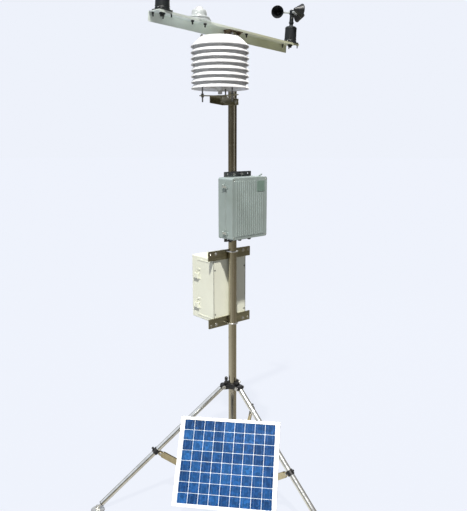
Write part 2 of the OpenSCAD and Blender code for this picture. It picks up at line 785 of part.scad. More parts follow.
module battery() {
  color([0.16, 0.17, 0.19]) at_battery() translate([battery_side, -battery_back - 62, battery_low + box_wall]) {
    translate([-80, -45, 0]) cube([160, 90, 118]);
    translate([-76, -41, 118 - eps]) cube([152, 82, 6]);
    for (s = [-1, 1]) translate([s * 58, -24, 124 - 2 * eps]) cylinder(r = 7, h = 12);
  }
}

module charge_controller() {
  color([0.2, 0.32, 0.5]) at_battery()
    translate([battery_side, -battery_back - box_wall - eps, battery_low + 215]) {
      translate([-65, -30, -38]) cube([130, 30, 76]);
      translate([-60, -34, -32]) cube([120, 4 + eps, 14]);
      translate([-30, -32.5, 2]) cube([60, 2.5 + eps, 26]);
    }
}

module gland(r) {
  translate([0, 0, -12]) cylinder(r = r + 3, h = 12.01 - eps, $fn = 6);
  translate([0, 0, -20]) cylinder(r1 = r - 1, r2 = r + 1.5, h = 8 + eps);
  cylinder(r = r - 0.1, h = 8);
  translate([0, 0, box_wall + 0.01]) cylinder(r = r + 2.6, h = 4, $fn = 6);
}

module cable_glands() {
  color([0.11, 0.11, 0.12]) {
    at_logger() for (x = [-60, 0, 60])
      translate([logger_side + x, parting_y + base_depth / 2, logger_low]) gland(8);
    at_battery() for (x = [-50, 50])
      translate([battery_side + x, -battery_back - (battery_d - door_depth) / 2, battery_low]) difference() {
        gland(8);
        translate([0, 0, box_wall - eps]) cylinder(r = 20, h = 20);
      }
  }
}

module battery_door() {
  knuckle = 17.4;
  color([0.88, 0.87, 0.8]) at_battery() translate([battery_side, 0, battery_low + battery_h / 2]) {
    difference() {
      translate([0, door_y - door_depth, 0]) upright(battery_w, battery_h, 5, door_depth - gap);
      translate([0, door_y - door_depth + box_wall, 0])
        upright(battery_w - 2 * box_wall, battery_h - 2 * box_wall, 3, door_depth);
    }
    translate([0, door_y - door_depth - 1.5, 0]) upright(battery_w - 36, battery_h - 36, 4, 1.5 + eps);
    translate([-battery_w / 2 - hinge_out, door_y, 0]) for (z = [-95, 95]) translate([0, 0, z]) {
      translate([0, 0, -knuckle / 2]) cylinder(r = 5, h = knuckle);
      translate([0, 0, -30]) cylinder(r = hinge_r, h = 60, $fn = 32);
      for (k = [-30.2, 26.2]) translate([0, 0, k]) cylinder(r = 4.5, h = 4);
      translate([1, -11, -knuckle / 2]) cube([5, 10.8, knuckle]);
    }
    for (z = battery_latch_z) translate([battery_w / 2 + 1.5, door_y - 12, z])
      cube([3.2, 6, battery_latch_h], center = true);
  }
}

module battery_latch(z) {
  at_battery() translate([battery_side + battery_w / 2 + 5, door_y + 14, battery_low + battery_h / 2 + z])
    mirror([1, 0, 0]) box_latch(27, battery_latch_h);
}

module battery_latch_top() { color([0.8, 0.79, 0.72]) battery_latch(battery_latch_z[1]); }
module battery_latch_bottom() { color([0.8, 0.79, 0.72]) battery_latch(battery_latch_z[0]); }

// ---------- solar panel ----------
module panel_arm() {
  color([0.6, 0.6, 0.58]) rotate([0, 0, panel_turn]) translate([0, 0, pivot_z]) {
    difference() {
      union() {
        translate([-35, -mast_r - 6.5, -24]) cube([70, 6, 48]);
        translate([-12, pivot_y + 19, -12]) cube([24, -pivot_y - mast_r - 6.5 - 19 + eps, 24]);
        for (s = [-1, 1]) translate([s * 17.3 - 2.5, 0, 0]) {
          translate([0, pivot_y, 0]) rotate([0, 90, 0]) cylinder(r = 14, h = 5);
          translate([0, pivot_y, -14]) cube([5, 34, 28]);
        }
        translate([-19.8, pivot_y + 28, -12]) cube([39.6, 6, 24]);
      }
      translate([-40, pivot_y, 0]) rotate([0, 90, 0]) cylinder(r = pivot_r + fit, h = 80);
      for (s = [-1, 1], z = [-13, 13]) translate([s * u_bolt_at, -mast_r + 2, z]) rotate([90, 0, 0])
        cylinder(r = 4.3, h = 12, $fn = 32);
    }
    for (z = [-13, 13]) translate([0, 0, z]) u_bolt(mast_r + 6.7);
  }
}

module panel_frame() {
  w = panel_w;
  h = panel_h;
  color([0.9, 0.91, 0.92]) at_panel() {
    difference() {
      upright(w, h, 3, frame_t);
      translate([0, -1, 0]) upright(w - 2 * frame_face, h - 2 * frame_face_h, 1, frame_t + 2);
      translate([0, 2.5, 0]) upright(w - 4, h - 4, 1, 4.5);
      translate([0, 8.5, 0]) upright(w - 4, h - 4, 1, frame_t - 8.5 - 2);
    }
  }
}

module panel_laminate() {
  inner_w = panel_w - 2 * frame_face;
  inner_h = panel_h - 2 * frame_face_h;
  cw = inner_w / cell_columns;
  ch = inner_h / cell_rows;
  color([0.14, 0.28, 0.55]) at_panel() {
    translate([0, 3.5, 0]) upright(panel_w - 5, panel_h - 5, 1, 3.2);
    for (i = [0:cell_columns - 1], j = [0:cell_rows - 1])
      translate([-inner_w / 2 + (i + 0.5) * cw, 3.3, -inner_h / 2 + (j + 0.5) * ch])
        cube([cw - 2, 0.6, ch - 2], center = true);
  }
}

module panel_junction_box() {
  color([0.1, 0.1, 0.11]) at_panel() translate([0, 6.7 + eps, 110]) {
    upright(90, 60, 5, 18);
    for (s = [-1, 1]) translate([s * 25, 9, -29]) rotate([180, 0, 0]) cylinder(r = 6, h = 14);
  }
}

module panel_bracket() {
  color([0.6, 0.6, 0.58]) at_panel() {
    for (s = [-1, 1]) translate([s * 110, frame_t + 2, 0]) cube([30, 4, panel_h - 10], center = true);
    translate([0, frame_t + 6 - eps, 0]) upright(250, 60, 2, 4);
    translate([-panel_side, 0, 0]) difference() {
      union() {
        for (s = [-1, 1]) translate([s * 12.1 - 2, 0, 0]) {
          translate([0, frame_t + 9, -18]) cube([4, pivot_back - frame_t - 9, 36]);
          translate([0, pivot_back, 0]) rotate([0, 90, 0]) cylinder(r = 18, h = 4);
        }
        translate([-12, pivot_back, 0]) rotate([0, 90, 0]) tube(9, pivot_r, 24);
      }
    }
    translate([-panel_side, pivot_back, 0]) rotate([0, 90, 0]) {
      translate([0, 0, -26]) cylinder(r = pivot_r, h = 52);
      for (s = [-1, 1]) translate([0, 0, s * 23.2 - 3]) nut(16, 6);
    }
  }
}

// ---------- tripod ----------
module hub() {
  ear_in = 12.8;
  ear_t = 7;
  lobe_w = 19;
  color([0.09, 0.09, 0.1]) {
    difference() {
      union() {
        translate([0, 0, hinge_z - 10]) cylinder(r = 28, h = 25);
        for (i = [1:3]) at_leg(i) {
          for (s = [-1, 1]) translate([0, s * (ear_in + ear_t / 2), hinge_z]) rotate([90, 0, 0])
            translate([0, 0, -ear_t / 2]) {
              translate([hinge_r0, 0, 0]) cylinder(r = 10, h = ear_t);
              translate([0, -10, 0]) cube([hinge_r0, 20, ear_t]);
            }
          // lobe under each knob
          translate([12, -lobe_w / 2, hinge_z]) cube([27, lobe_w, 22]);
          translate([31, 0, hinge_z + 22 - eps]) cylinder(r1 = 8, r2 = 6, h = 5);
        }
      }
      translate([0, 0, hinge_z - 60]) cylinder(r = mast_r + fit, h = 120);
      for (i = [1:3]) at_leg(i) translate([34, -ear_in, hinge_z - 40]) cube([30, 2 * ear_in, 53]);
    }
    // hinge pins with their heads
    for (i = [1:3]) at_leg(i) translate([hinge_r0, 0, hinge_z]) rotate([90, 0, 0]) {
      translate([0, 0, -24]) cylinder(r = pin_r, h = 48);
      for (s = [-1, 1]) translate([0, 0, s * 22.3 - 2.5]) nut(12, 5);
    }
    // clamp knobs, the one over the first leg taller
    for (i = [1:3]) at_leg(i) translate([31, 0, hinge_z + 27 - 2 * eps]) {
      head_r = i == 1 ? 7 : 5.5;
      head_h = i == 1 ? 13 : 8;
      cylinder(r = 4, h = 4);
      translate([0, 0, 4 - eps]) cylinder(r = head_r, h = head_h, $fn = 12);
      translate([0, 0, 4 + head_h - 2 * eps]) cylinder(r1 = head_r, r2 = head_r - 3, h = 3);
    }
  }
}

module leg(i) {
  color([0.72, 0.72, 0.7]) down_leg(i) difference() {
    translate([0, 0, -leg_length + 26]) tube(leg_d / 2, leg_d / 2 - 1.5, leg_length - 26 - 13);
    translate([0, 20, -leg_length + 34]) rotate([90, 0, 0]) cylinder(r = 2.2, h = 40, $fn = 32);
  }
}

// Black end block, brace clamp with its knob, and the end plug that carries the foot
module leg_fittings(i) {
  at_brace = brace_share * leg_length;
  color([0.1, 0.1, 0.11]) {
    difference() {
      down_leg(i) {
        rotate([90, 0, 0]) cylinder(r = 12.4, h = 24.8, center = true);
        translate([0, 0, -54]) cylinder(r = leg_d / 2 - 1.6, h = 50);
      }
      at_leg(i) translate([hinge_r0, 30, hinge_z]) rotate([90, 0, 0]) cylinder(r = pin_r + fit, h = 60);
    }
    // clamp round the leg with a lug for the brace, which straddles it
    difference() {
      union() {
        down_leg(i) translate([0, 0, -at_brace - 12]) cylinder(r = leg_d / 2 + 3, h = 24);
        at_leg(i) translate([joint[0], -lug_t / 2, joint[1]]) rotate([0, -brace_slope, 0]) {
          rotate([-90, 0, 0]) cylinder(r = lug_r, h = lug_t);
          translate([0, 0, -lug_r]) cube([joint_drop, lug_t, 2 * lug_r]);
        }
      }
      down_leg(i) translate([0, 0, -at_brace - 40]) cylinder(r = leg_d / 2 + eps, h = 80);
      at_leg(i) translate([joint[0], 0, joint[1]]) rotate([0, -brace_slope, 0]) for (s = [-1, 1])
        translate([-20, s * (lug_t + 3.6) / 2 - 1.8, -16]) cube([31, 3.6, 32]);
    }
    at_leg(i) translate([joint[0], 0, joint[1]]) rotate([90, 0, 0])
      translate([0, 0, -brace_w / 2 - 3]) cylinder(r = collar_pin_r, h = brace_w + 6, $fn = 32);
    down_leg(i) translate([leg_d / 2 + 2.5, 0, -at_brace]) rotate([0, 90, 0]) {
      cylinder(r = 4, h = 5);
      translate([0, 0, 4]) cylinder(r = 5.5, h = 6, $fn = 10);
      translate([0, 0, 10 - eps]) cylinder(r1 = 5.2, r2 = 4, h = 2);
    }
    // ball stem in the lower end
    down_leg(i) {
      translate([0, 0, -leg_length + 28]) cylinder(r = leg_d / 2 - 1.6, h = 24);
      translate([0, 0, -leg_length + 5]) cylinder(r = 5, h = 24);
    }
    at_leg(i) translate([foot_reach, 0, foot_z]) rotate([90, 0, 0]) difference() {
      cylinder(r = 8.5, h = 11.2, center = true);
      cylinder(r = collar_pin_r + fit, h = 30, center = true);
    }
  }
}

module foot(i) {
  ear_in = 6;
  color([0.7, 0.71, 0.7]) at_leg(i) translate([foot_reach, 0, 0]) {
    difference() {
      rotate_extrude() polygon([[0, 0], [29, 0], [31, 2], [31, 4.2], [14, 4.4], [0, 4.4]]);
      for (a = [45, 135, 225, 315]) rotate([0, 0, a]) translate([22.5, 0, -1]) cylinder(r = 3, h = 8, $fn = 32);
    }
    for (s = [-1, 1]) translate([0, s * (ear_in + 2), foot_z]) rotate([90, 0, 0]) translate([0, 0, -2]) {
      cylinder(r = 9, h = 4);
      translate([-9, -10, 0]) cube([18, 10, 4]);
    }
    translate([0, 0, foot_z]) rotate([90, 0, 0]) cylinder(r = collar_pin_r, h = 24, center = true, $fn = 32);
  }
}

// Channel open along its top; its side walls straddle the lugs at both ends
module brace(i) {
  color([0.62, 0.56, 0.4]) at_leg(i) translate([collar_r0, 0, collar_z]) rotate([0, -brace_slope, 0])
  difference() {
    union() {
      translate([0, -brace_w / 2, -10]) cube([brace_length, brace_w, 20]);
      translate([14, -brace_w / 2, -brace_h / 2]) cube([brace_length - 28, brace_w, brace_h]);
      for (x = [0, brace_length]) translate([x, brace_w / 2, 0]) rotate([90, 0, 0])
        cylinder(r = 10, h = brace_w);
    }
    translate([-20, -brace_w / 2 + brace_wall, -brace_h / 2 + brace_wall])
      cube([brace_length + 40, brace_w - 2 * brace_wall, brace_h + 4]);
    for (x = [-20, brace_length - 12]) translate([x, -brace_w / 2 + brace_wall, -brace_h])
      cube([32, brace_w - 2 * brace_wall, 2 * brace_h]);
    translate([0, 20, 0]) rotate([90, 0, 0]) cylinder(r = loose_r, h = 40);
    translate([brace_length, 20, 0]) rotate([90, 0, 0]) cylinder(r = collar_pin_r + fit, h = 40, $fn = 32);
  }
}

module leg_1() { leg(1); }
module leg_2() { leg(2); }
module leg_3() { leg(3); }
module leg_fittings_1() { leg_fittings(1); }
module leg_fittings_2() { leg_fittings(2); }
module leg_fittings_3() { leg_fittings(3); }
module foot_1() { foot(1); }
module foot_2() { foot(2); }
module foot_3() { foot(3); }
module brace_1() { brace(1); }
module brace_2() { brace(2); }
module brace_3() { brace(3); }

mast_tube();
mast_base_plug();
lower_collar();
crossarm();
arm_clamp();
arm_u_bolts();
vane_body();
vane_flange();
cup_body();
cup_flange();
sun_base();
sun_body();
sun_dome();
shield_cap();
shield_louvres();
shield_base_plate();
shield_rods();
shield_support_plate();
shield_bracket();
shield_u_bolt();
shield_probe();
logger_base();
logger_board();
logger_brackets();
logger_u_bolts();
battery_box_body();
battery_bars();
battery_u_bolts();
battery();
charge_controller();
cable_glands();
panel_arm();
vane_rotor();
vane_tail();
cup_rotor();
cups();
logger_lid();
logger_nameplate();
logger_latch_top();
logger_latch_bottom();
battery_door();
battery_latch_top();
battery_latch_bottom();
panel_frame();
panel_laminate();
panel_junction_box();
panel_bracket();
hub();
leg_1();
leg_2();
leg_3();
leg_fittings_1();
leg_fittings_2();
leg_fittings_3();
foot_1();
foot_2();
foot_3();
brace_1();
brace_2();
brace_3();
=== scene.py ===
import bpy, bmesh, math, json, random
from mathutils import Matrix, Vector


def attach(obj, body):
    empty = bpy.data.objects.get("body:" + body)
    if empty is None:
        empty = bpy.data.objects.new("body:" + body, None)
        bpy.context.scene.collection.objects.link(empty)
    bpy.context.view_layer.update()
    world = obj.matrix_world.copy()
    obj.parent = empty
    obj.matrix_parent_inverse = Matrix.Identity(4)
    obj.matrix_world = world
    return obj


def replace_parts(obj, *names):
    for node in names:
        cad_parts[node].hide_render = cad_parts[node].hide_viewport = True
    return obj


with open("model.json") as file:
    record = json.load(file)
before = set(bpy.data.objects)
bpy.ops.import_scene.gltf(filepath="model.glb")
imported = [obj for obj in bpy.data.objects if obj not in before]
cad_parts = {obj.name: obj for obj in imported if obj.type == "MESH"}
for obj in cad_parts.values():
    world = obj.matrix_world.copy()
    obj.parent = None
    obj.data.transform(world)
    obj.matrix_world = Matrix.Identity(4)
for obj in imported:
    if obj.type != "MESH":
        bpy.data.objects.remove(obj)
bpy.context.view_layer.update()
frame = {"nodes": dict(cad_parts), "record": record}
nodes = frame["nodes"]

# ---------------------------------------------------------------- sizes from the CAD source, in metres
MM = 0.001
mast_r, arm_z = 19 * MM, 2199 * MM
arm_azimuth, arm_lean = math.radians(46.6), math.radians(2.6)
web_y, arm_width = 22.2 * MM, 68 * MM
sensor_y = web_y - arm_width / 2
vane_at, sun_at, cups_at = -400 * MM, -209 * MM, 388 * MM
flange_top, wind_h = 7.5 * MM, 70 * MM
rotor_z = flange_top + wind_h + 63 * MM
flange_bolt_r, sun_screw_at = 35 * MM, 35 * MM
cup_reach, cup_r, cup_turn = 68 * MM, 28.5 * MM, math.radians(173)
shield_azimuth, shield_out = 252, 165 * MM
shield_low, louvre_pitch, louvre_count = 1941 * MM, 23.4 * MM, 7
cap_rim_z, cap_h, rod_ring, plate_z = 2104.8 * MM, 39 * MM, 74 * MM, 1912 * MM
rod_turns = (193, 313, 73)
logger_turn, logger_side = math.radians(43), -5 * MM
logger_w, logger_d, logger_h, logger_low = 212 * MM, 90 * MM, 268 * MM, 1308 * MM
logger_back, lid_share = mast_r + 10 * MM, 0.46
logger_part = -(logger_back + (1 - lid_share) * logger_d)
lid_front = logger_part - lid_share * logger_d
battery_turn, battery_side = math.radians(220), -3.5 * MM
battery_w, battery_d, battery_h, battery_low = 196 * MM, 162 * MM, 305 * MM, 896 * MM
bar_t, bar_length, door_depth = 5 * MM, 251 * MM, 36 * MM
battery_back = mast_r + bar_t
door_y = -(battery_back + battery_d - door_depth)
panel_turn, panel_tilt = math.radians(-7.8), math.radians(54)
panel_w, panel_h = 455 * MM, 383 * MM
panel_back, panel_out, panel_z, panel_side = 70 * MM, 290.7 * MM, 327 * MM, 14.6 * MM
frame_face, frame_face_h = 19 * MM, 13 * MM
first_leg = math.radians(193.4)
hinge_r0, hinge_z, foot_r, foot_z = 47 * MM, 569.4 * MM, 662 * MM, 14 * MM
leg_slope = math.atan2(foot_r - hinge_r0, hinge_z - foot_z)
leg_length = math.hypot(foot_r - hinge_r0, hinge_z - foot_z)
leg_r, brace_at = 12.5 * MM, -0.537 * leg_length
BRACE_TOP = (357.88 * MM, 0, 256.98 * MM)


def turn(a, axis):
    return Matrix.Rotation(a, 4, axis)


def move(x=0.0, y=0.0, z=0.0):
    return Matrix.Translation((x, y, z))


ARM = move(z=arm_z) @ turn(arm_lean, "Y") @ turn(arm_azimuth, "Z")
SHIELD = turn(math.radians(shield_azimuth), "Z") @ move(shield_out)
LOGGER = turn(logger_turn, "Z") @ move(logger_side, 0, logger_low + logger_h / 2)
BATTERY = turn(battery_turn, "Z") @ move(battery_side, 0, battery_low + battery_h / 2)
BAT0 = turn(battery_turn, "Z")
PANEL = (turn(panel_turn, "Z")
         @ move(panel_side, -panel_out + panel_back * math.sin(panel_tilt),
                panel_z - panel_back * math.cos(panel_tilt))
         @ turn(panel_tilt - math.pi / 2, "X") @ move(0, -panel_back, 0))


def leg_frame(i):
    return turn(first_leg + math.radians(120 * (i - 1)), "Z")


def down_leg(i):
    return leg_frame(i) @ move(hinge_r0, 0, hinge_z) @ turn(-leg_slope, "Y")


# ---------------------------------------------------------------- materials
def noise(tree, coord, scale, detail=4.0, rough=0.5, stretch=None):
    if stretch:
        m = tree.nodes.new("ShaderNodeMapping")
        m.inputs["Scale"].default_value = stretch
        tree.links.new(coord, m.inputs["Vector"])
        coord = m.outputs["Vector"]
    n = tree.nodes.new("ShaderNodeTexNoise")
    n.inputs["Scale"].default_value = scale
    n.inputs["Detail"].default_value = detail
    n.inputs["Roughness"].default_value = rough
    tree.links.new(coord, n.inputs["Vector"])
    return n.outputs["Fac"]


def ramp(tree, fac, stops):
    r = tree.nodes.new("ShaderNodeValToRGB")
    while len(r.color_ramp.elements) < len(stops):
        r.color_ramp.elements.new(0.5)
    for e, (p, c) in zip(r.color_ramp.elements, stops):
        e.position = p
        e.color = (*c, 1.0) if len(c) == 3 else c
    tree.links.new(fac, r.inputs["Fac"])
    return r.outputs["Color"]


def spread(tree, fac, lo, hi, a=0.3, b=0.7):
    m = tree.nodes.new("ShaderNodeMapRange")
    m.inputs["From Min"].default_value = a
    m.inputs["From Max"].default_value = b
    m.inputs["To Min"].default_value = lo
    m.inputs["To Max"].default_value = hi
    tree.links.new(fac, m.inputs["Value"])
    return m.outputs["Result"]


def mix(tree, fac, a, b, kind="MIX"):
    m = tree.nodes.new("ShaderNodeMix")
    m.data_type = "RGBA"
    m.blend_type = kind
    for sock, v in ((m.inputs[0], fac), (m.inputs[6], a), (m.inputs[7], b)):
        if isinstance(v, bpy.types.NodeSocket):
            tree.links.new(v, sock)
        else:
            sock.default_value = v if not isinstance(v, tuple) else (*v, 1.0)[:4]
    return m.outputs[2]


def edge_mask(tree, radius):
    """1 on rounded edges, 0 on flats, from how far a rounded normal leaves the true one."""
    bev = tree.nodes.new("ShaderNodeBevel")
    bev.samples = 4
    bev.inputs["Radius"].default_value = radius
    geo = tree.nodes.new("ShaderNodeNewGeometry")
    dot = tree.nodes.new("ShaderNodeVectorMath")
    dot.operation = "DOT_PRODUCT"
    tree.links.new(bev.outputs["Normal"], dot.inputs[0])
    tree.links.new(geo.outputs["True Normal"], dot.inputs[1])
    return spread(tree, dot.outputs["Value"], 1.0, 0.0, 0.75, 0.97)


def material(name, base, rough, metallic=0.0, vary=0.12, vary_scale=9.0, stretch=None, bump=0.15,
             bump_scale=900.0, bump_depth=0.0004, round_edges=0.0008, edge_wear_and_highlight=None, dirt=None, coat=0.0,
             rough_vary=0.08, threads=None, specular=0.5, ripple=None):
    """Surface with noise in colour and roughness, bump and rounded edges; lighter edges (worn, and on the
    logger also a painted highlight) and dirt on request.
    """
    m = bpy.data.materials.new(name)
    m.use_nodes = True
    t = m.node_tree
    bsdf = t.nodes["Principled BSDF"]
    coord = t.nodes.new("ShaderNodeTexCoord").outputs["Object"]
    dark = tuple(max(0.0, c * (1 - vary)) for c in base)
    light = tuple(min(1.0, c * (1 + vary * 0.6)) for c in base)
    n1 = noise(t, coord, vary_scale, 5.0, 0.55, stretch)
    colour = ramp(t, n1, [(0.3, dark), (0.7, light)])
    if dirt:
        n2 = noise(t, coord, 4.3, 6.0, 0.62)
        fac = spread(t, n2, 0.0, dirt[1], 0.52, 0.72)
        colour = mix(t, fac, colour, dirt[0])
    # Lighter colour on rounded edges: worn surface; on the logger paint also a painted highlight.
    if edge_wear_and_highlight:
        fac = edge_mask(t, round_edges * 1.6)
        n3 = noise(t, coord, 260.0, 3.0, 0.6)
        gate = spread(t, n3, 0.0, 1.0, 0.42, 0.6)
        mul = t.nodes.new("ShaderNodeMath")
        mul.operation = "MULTIPLY"
        t.links.new(fac, mul.inputs[0])
        t.links.new(gate, mul.inputs[1])
        mul2 = t.nodes.new("ShaderNodeMath")
        mul2.operation = "MULTIPLY"
        t.links.new(mul.outputs[0], mul2.inputs[0])
        mul2.inputs[1].default_value = edge_wear_and_highlight[1]
        colour = mix(t, mul2.outputs[0], colour, edge_wear_and_highlight[0])
    t.links.new(colour, bsdf.inputs["Base Color"])
    bsdf.inputs["Metallic"].default_value = metallic
    nr = noise(t, coord, vary_scale * 3.1, 4.0, 0.6, stretch)
    lo, hi = max(0.03, rough - rough_vary), min(1.0, rough + rough_vary)
    t.links.new(spread(t, nr, lo, hi), bsdf.inputs["Roughness"])
    bsdf.inputs["Specular IOR Level"].default_value = specular
    if coat:
        bsdf.inputs["Coat Weight"].default_value = coat
        bsdf.inputs["Coat Roughness"].default_value = 0.12
    bev = t.nodes.new("ShaderNodeBevel")
    bev.samples = 4
    bev.inputs["Radius"].default_value = round_edges
    b = t.nodes.new("ShaderNodeBump")
    b.inputs["Strength"].default_value = bump
    b.inputs["Distance"].default_value = bump_depth
    fine = noise(t, coord, bump_scale, 3.0, 0.6, stretch)
    t.links.new(fine, b.inputs["Height"])
    t.links.new(bev.outputs["Normal"], b.inputs["Normal"])
    last = b
    if ripple:
        w = t.nodes.new("ShaderNodeBump")
        w.inputs["Strength"].default_value = ripple[1]
        w.inputs["Distance"].default_value = 0.002
        t.links.new(noise(t, coord, ripple[0], 2.0, 0.5), w.inputs["Height"])
        t.links.new(last.outputs["Normal"], w.inputs["Normal"])
        last = w
    if threads:
        wave = t.nodes.new("ShaderNodeTexWave")
        wave.bands_direction = "Z"
        wave.inputs["Scale"].default_value = 0.314 / threads
        wave.inputs["Distortion"].default_value = 0.0
        t.links.new(coord, wave.inputs["Vector"])
        w = t.nodes.new("ShaderNodeBump")
        w.inputs["Strength"].default_value = 0.8
        w.inputs["Distance"].default_value = threads * 0.5
        t.links.new(wave.outputs["Fac"], w.inputs["Height"])
        t.links.new(last.outputs["Normal"], w.inputs["Normal"])
        last = w
    t.links.new(last.outputs["Normal"], bsdf.inputs["Normal"])
    return m


steel_wear = ((0.75, 0.74, 0.7), 0.5)
M = {
    # Brownish base tint of the mast steel: painted reflection of brown surroundings in polished stainless.
    "mast_steel": material("mast_steel", (0.50, 0.46, 0.37), 0.22, 1.0, 0.2, 26, (1, 1, 0.06), 0.1, 700,
                           ripple=(16, 0.1)),
    "leg_steel": material("leg_steel", (0.95, 0.93, 0.85), 0.2, 1.0, 0.18, 30, None, 0.1, 700,
                          ripple=(20, 0.08)),
    # Olive-brown base tint of the bar steel: painted reflection of dark surroundings in polished stainless.
    "bar_steel": material("bar_steel", (0.41, 0.39, 0.29), 0.32, 1.0, 0.25, 22, (0.3, 0.3, 3.0), 0.25, 600,
                          edge_wear_and_highlight=steel_wear),
    "fastener_steel": material("fastener_steel", (0.66, 0.65, 0.62), 0.28, 1.0, 0.2, 60, None, 0.2, 900,
                               edge_wear_and_highlight=steel_wear),
    "rod_steel": material("rod_steel", (0.24, 0.24, 0.24), 0.38, 1.0, 0.25, 40, None, 0.2, 900,
                          threads=0.001),
    "arm_paint": material("arm_paint", (0.78, 0.82, 0.76), 0.45, 0.15, 0.1, 7, None, 0.2, 1400, 0.0003,
                          edge_wear_and_highlight=((0.72, 0.73, 0.7), 0.5), dirt=((0.5, 0.52, 0.45), 0.3)),
    "clamp_steel": material("clamp_steel", (0.27, 0.20, 0.15), 0.28, 1.0, 0.35, 30, None, 0.2, 700,
                            edge_wear_and_highlight=steel_wear),
    "sensor_black": material("sensor_black", (0.007, 0.010, 0.013), 0.48, 0.0, 0.4, 30, None, 0.2, 2200,
                             0.0002, edge_wear_and_highlight=((0.2, 0.21, 0.21), 0.5)),
    "black_plastic": material("black_plastic", (0.014, 0.014, 0.015), 0.46, 0.0, 0.4, 40, None, 0.35,
                              1500, 0.0003, edge_wear_and_highlight=((0.12, 0.12, 0.12), 0.5)),
    "cup_plastic": material("cup_plastic", (0.013, 0.015, 0.017), 0.4, 0.0, 0.4, 40, None, 0.25, 1800, 0.0002,
                            edge_wear_and_highlight=((0.16, 0.17, 0.17), 0.5)),
    "sun_metal": material("sun_metal", (0.66, 0.70, 0.71), 0.46, 0.25, 0.1, 22, None, 0.2, 1500, 0.0003,
                          edge_wear_and_highlight=((0.88, 0.89, 0.88), 0.5)),
    "shield_white": material("shield_white", (0.86, 0.87, 0.88), 0.3, 0.0, 0.04, 7, None, 0.12, 900, 0.0004,
                             dirt=((0.74, 0.74, 0.7), 0.22), coat=0.15),
    "probe_white": material("probe_white", (0.78, 0.78, 0.76), 0.6, 0.0, 0.1, 60, None, 0.5, 2600, 0.0005),
    # Lighter edges on the logger paint: partly worn paint, partly a painted highlight along the rounded
    # edges.
    "logger_paint": material("logger_paint", (0.41, 0.49, 0.48), 0.36, 0.3, 0.1, 8, None, 0.35, 1500, 0.0003,
                             0.0024, edge_wear_and_highlight=((0.6, 0.63, 0.6), 0.55), dirt=((0.27, 0.33, 0.28), 0.35)),
    "plate_green": material("plate_green", (0.20, 0.29, 0.25), 0.5, 0.1, 0.1, 30, None, 0.15, 900),
    "latch_metal": material("latch_metal", (0.60, 0.64, 0.61), 0.3, 0.6, 0.12, 40, None, 0.2, 900,
                            edge_wear_and_highlight=steel_wear),
    "bracket_dark": material("bracket_dark", (0.16, 0.165, 0.175), 0.42, 0.8, 0.3, 40, None, 0.3, 500,
                             edge_wear_and_highlight=steel_wear),
    "board_green": material("board_green", (0.02, 0.12, 0.05), 0.35, 0.0, 0.25, 60, None, 0.4, 700, 0.0004),
    "box_cream": material("box_cream", (0.82, 0.84, 0.72), 0.4, 0.0, 0.05, 6, None, 0.3, 1700, 0.0003,
                          dirt=((0.66, 0.64, 0.5), 0.28)),
    "battery_case": material("battery_case", (0.035, 0.037, 0.042), 0.45, 0.0, 0.3, 40, None, 0.35, 1400,
                             0.0003),
    "controller_blue": material("controller_blue", (0.03, 0.09, 0.22), 0.38, 0.2, 0.2, 30, None, 0.25, 1200),
    "panel_white": material("panel_white", (0.88, 0.885, 0.885), 0.3, 0.15, 0.04, 12, None, 0.15, 1200,
                            0.0003, edge_wear_and_highlight=((0.7, 0.71, 0.72), 0.4), dirt=((0.78, 0.77, 0.72), 0.15)),
    "bracket_alloy": material("bracket_alloy", (0.5, 0.5, 0.48), 0.38, 1.0, 0.2, 24, (3, 3, 0.3), 0.25, 700,
                              edge_wear_and_highlight=steel_wear),
    "foot_metal": material("foot_metal", (0.62, 0.63, 0.62), 0.4, 0.85, 0.2, 40, None, 0.35, 800,
                           dirt=((0.4, 0.36, 0.3), 0.5)),
    "brace_steel": material("brace_steel", (0.60, 0.53, 0.36), 0.3, 1.0, 0.2, 16, None, 0.2, 700,
                            edge_wear_and_highlight=steel_wear),
}
EXTRA = {
    "white_line": material("backsheet", (0.84, 0.92, 1.0), 0.35, 0.0, 0.05, 30, None, 0.1, 900),
    "silver_line": material("silver_line", (0.05, 0.13, 0.30), 0.3, 0.2, 0.1, 60, None, 0.1, 900),
    "rubber": material("rubber", (0.02, 0.02, 0.021), 0.75, 0.0, 0.3, 60, None, 0.5, 1100, 0.0004),
    "chip": material("chip", (0.02, 0.02, 0.022), 0.4, 0.0, 0.3, 80, None, 0.3, 2500),
    "copper": material("copper", (0.75, 0.42, 0.2), 0.3, 1.0, 0.2, 80, None, 0.2, 900),
    "bright_alloy": material("bright_alloy", (0.62, 0.66, 0.66), 0.4, 0.6, 0.12, 60, None, 0.2, 1200),
    "diffuser": material("diffuser", (0.86, 0.87, 0.87), 0.4, 0.0, 0.05, 80, None, 0.2, 1500, coat=0.3),
    "seam": material("seam", (0.25, 0.25, 0.26), 0.6, 0.0, 0.2, 60, None, 0.2, 900),
    "level_glass": material("level_glass", (0.55, 0.7, 0.12), 0.12, 0.0, 0.2, 80, None, 0.1, 900, coat=0.6),
}


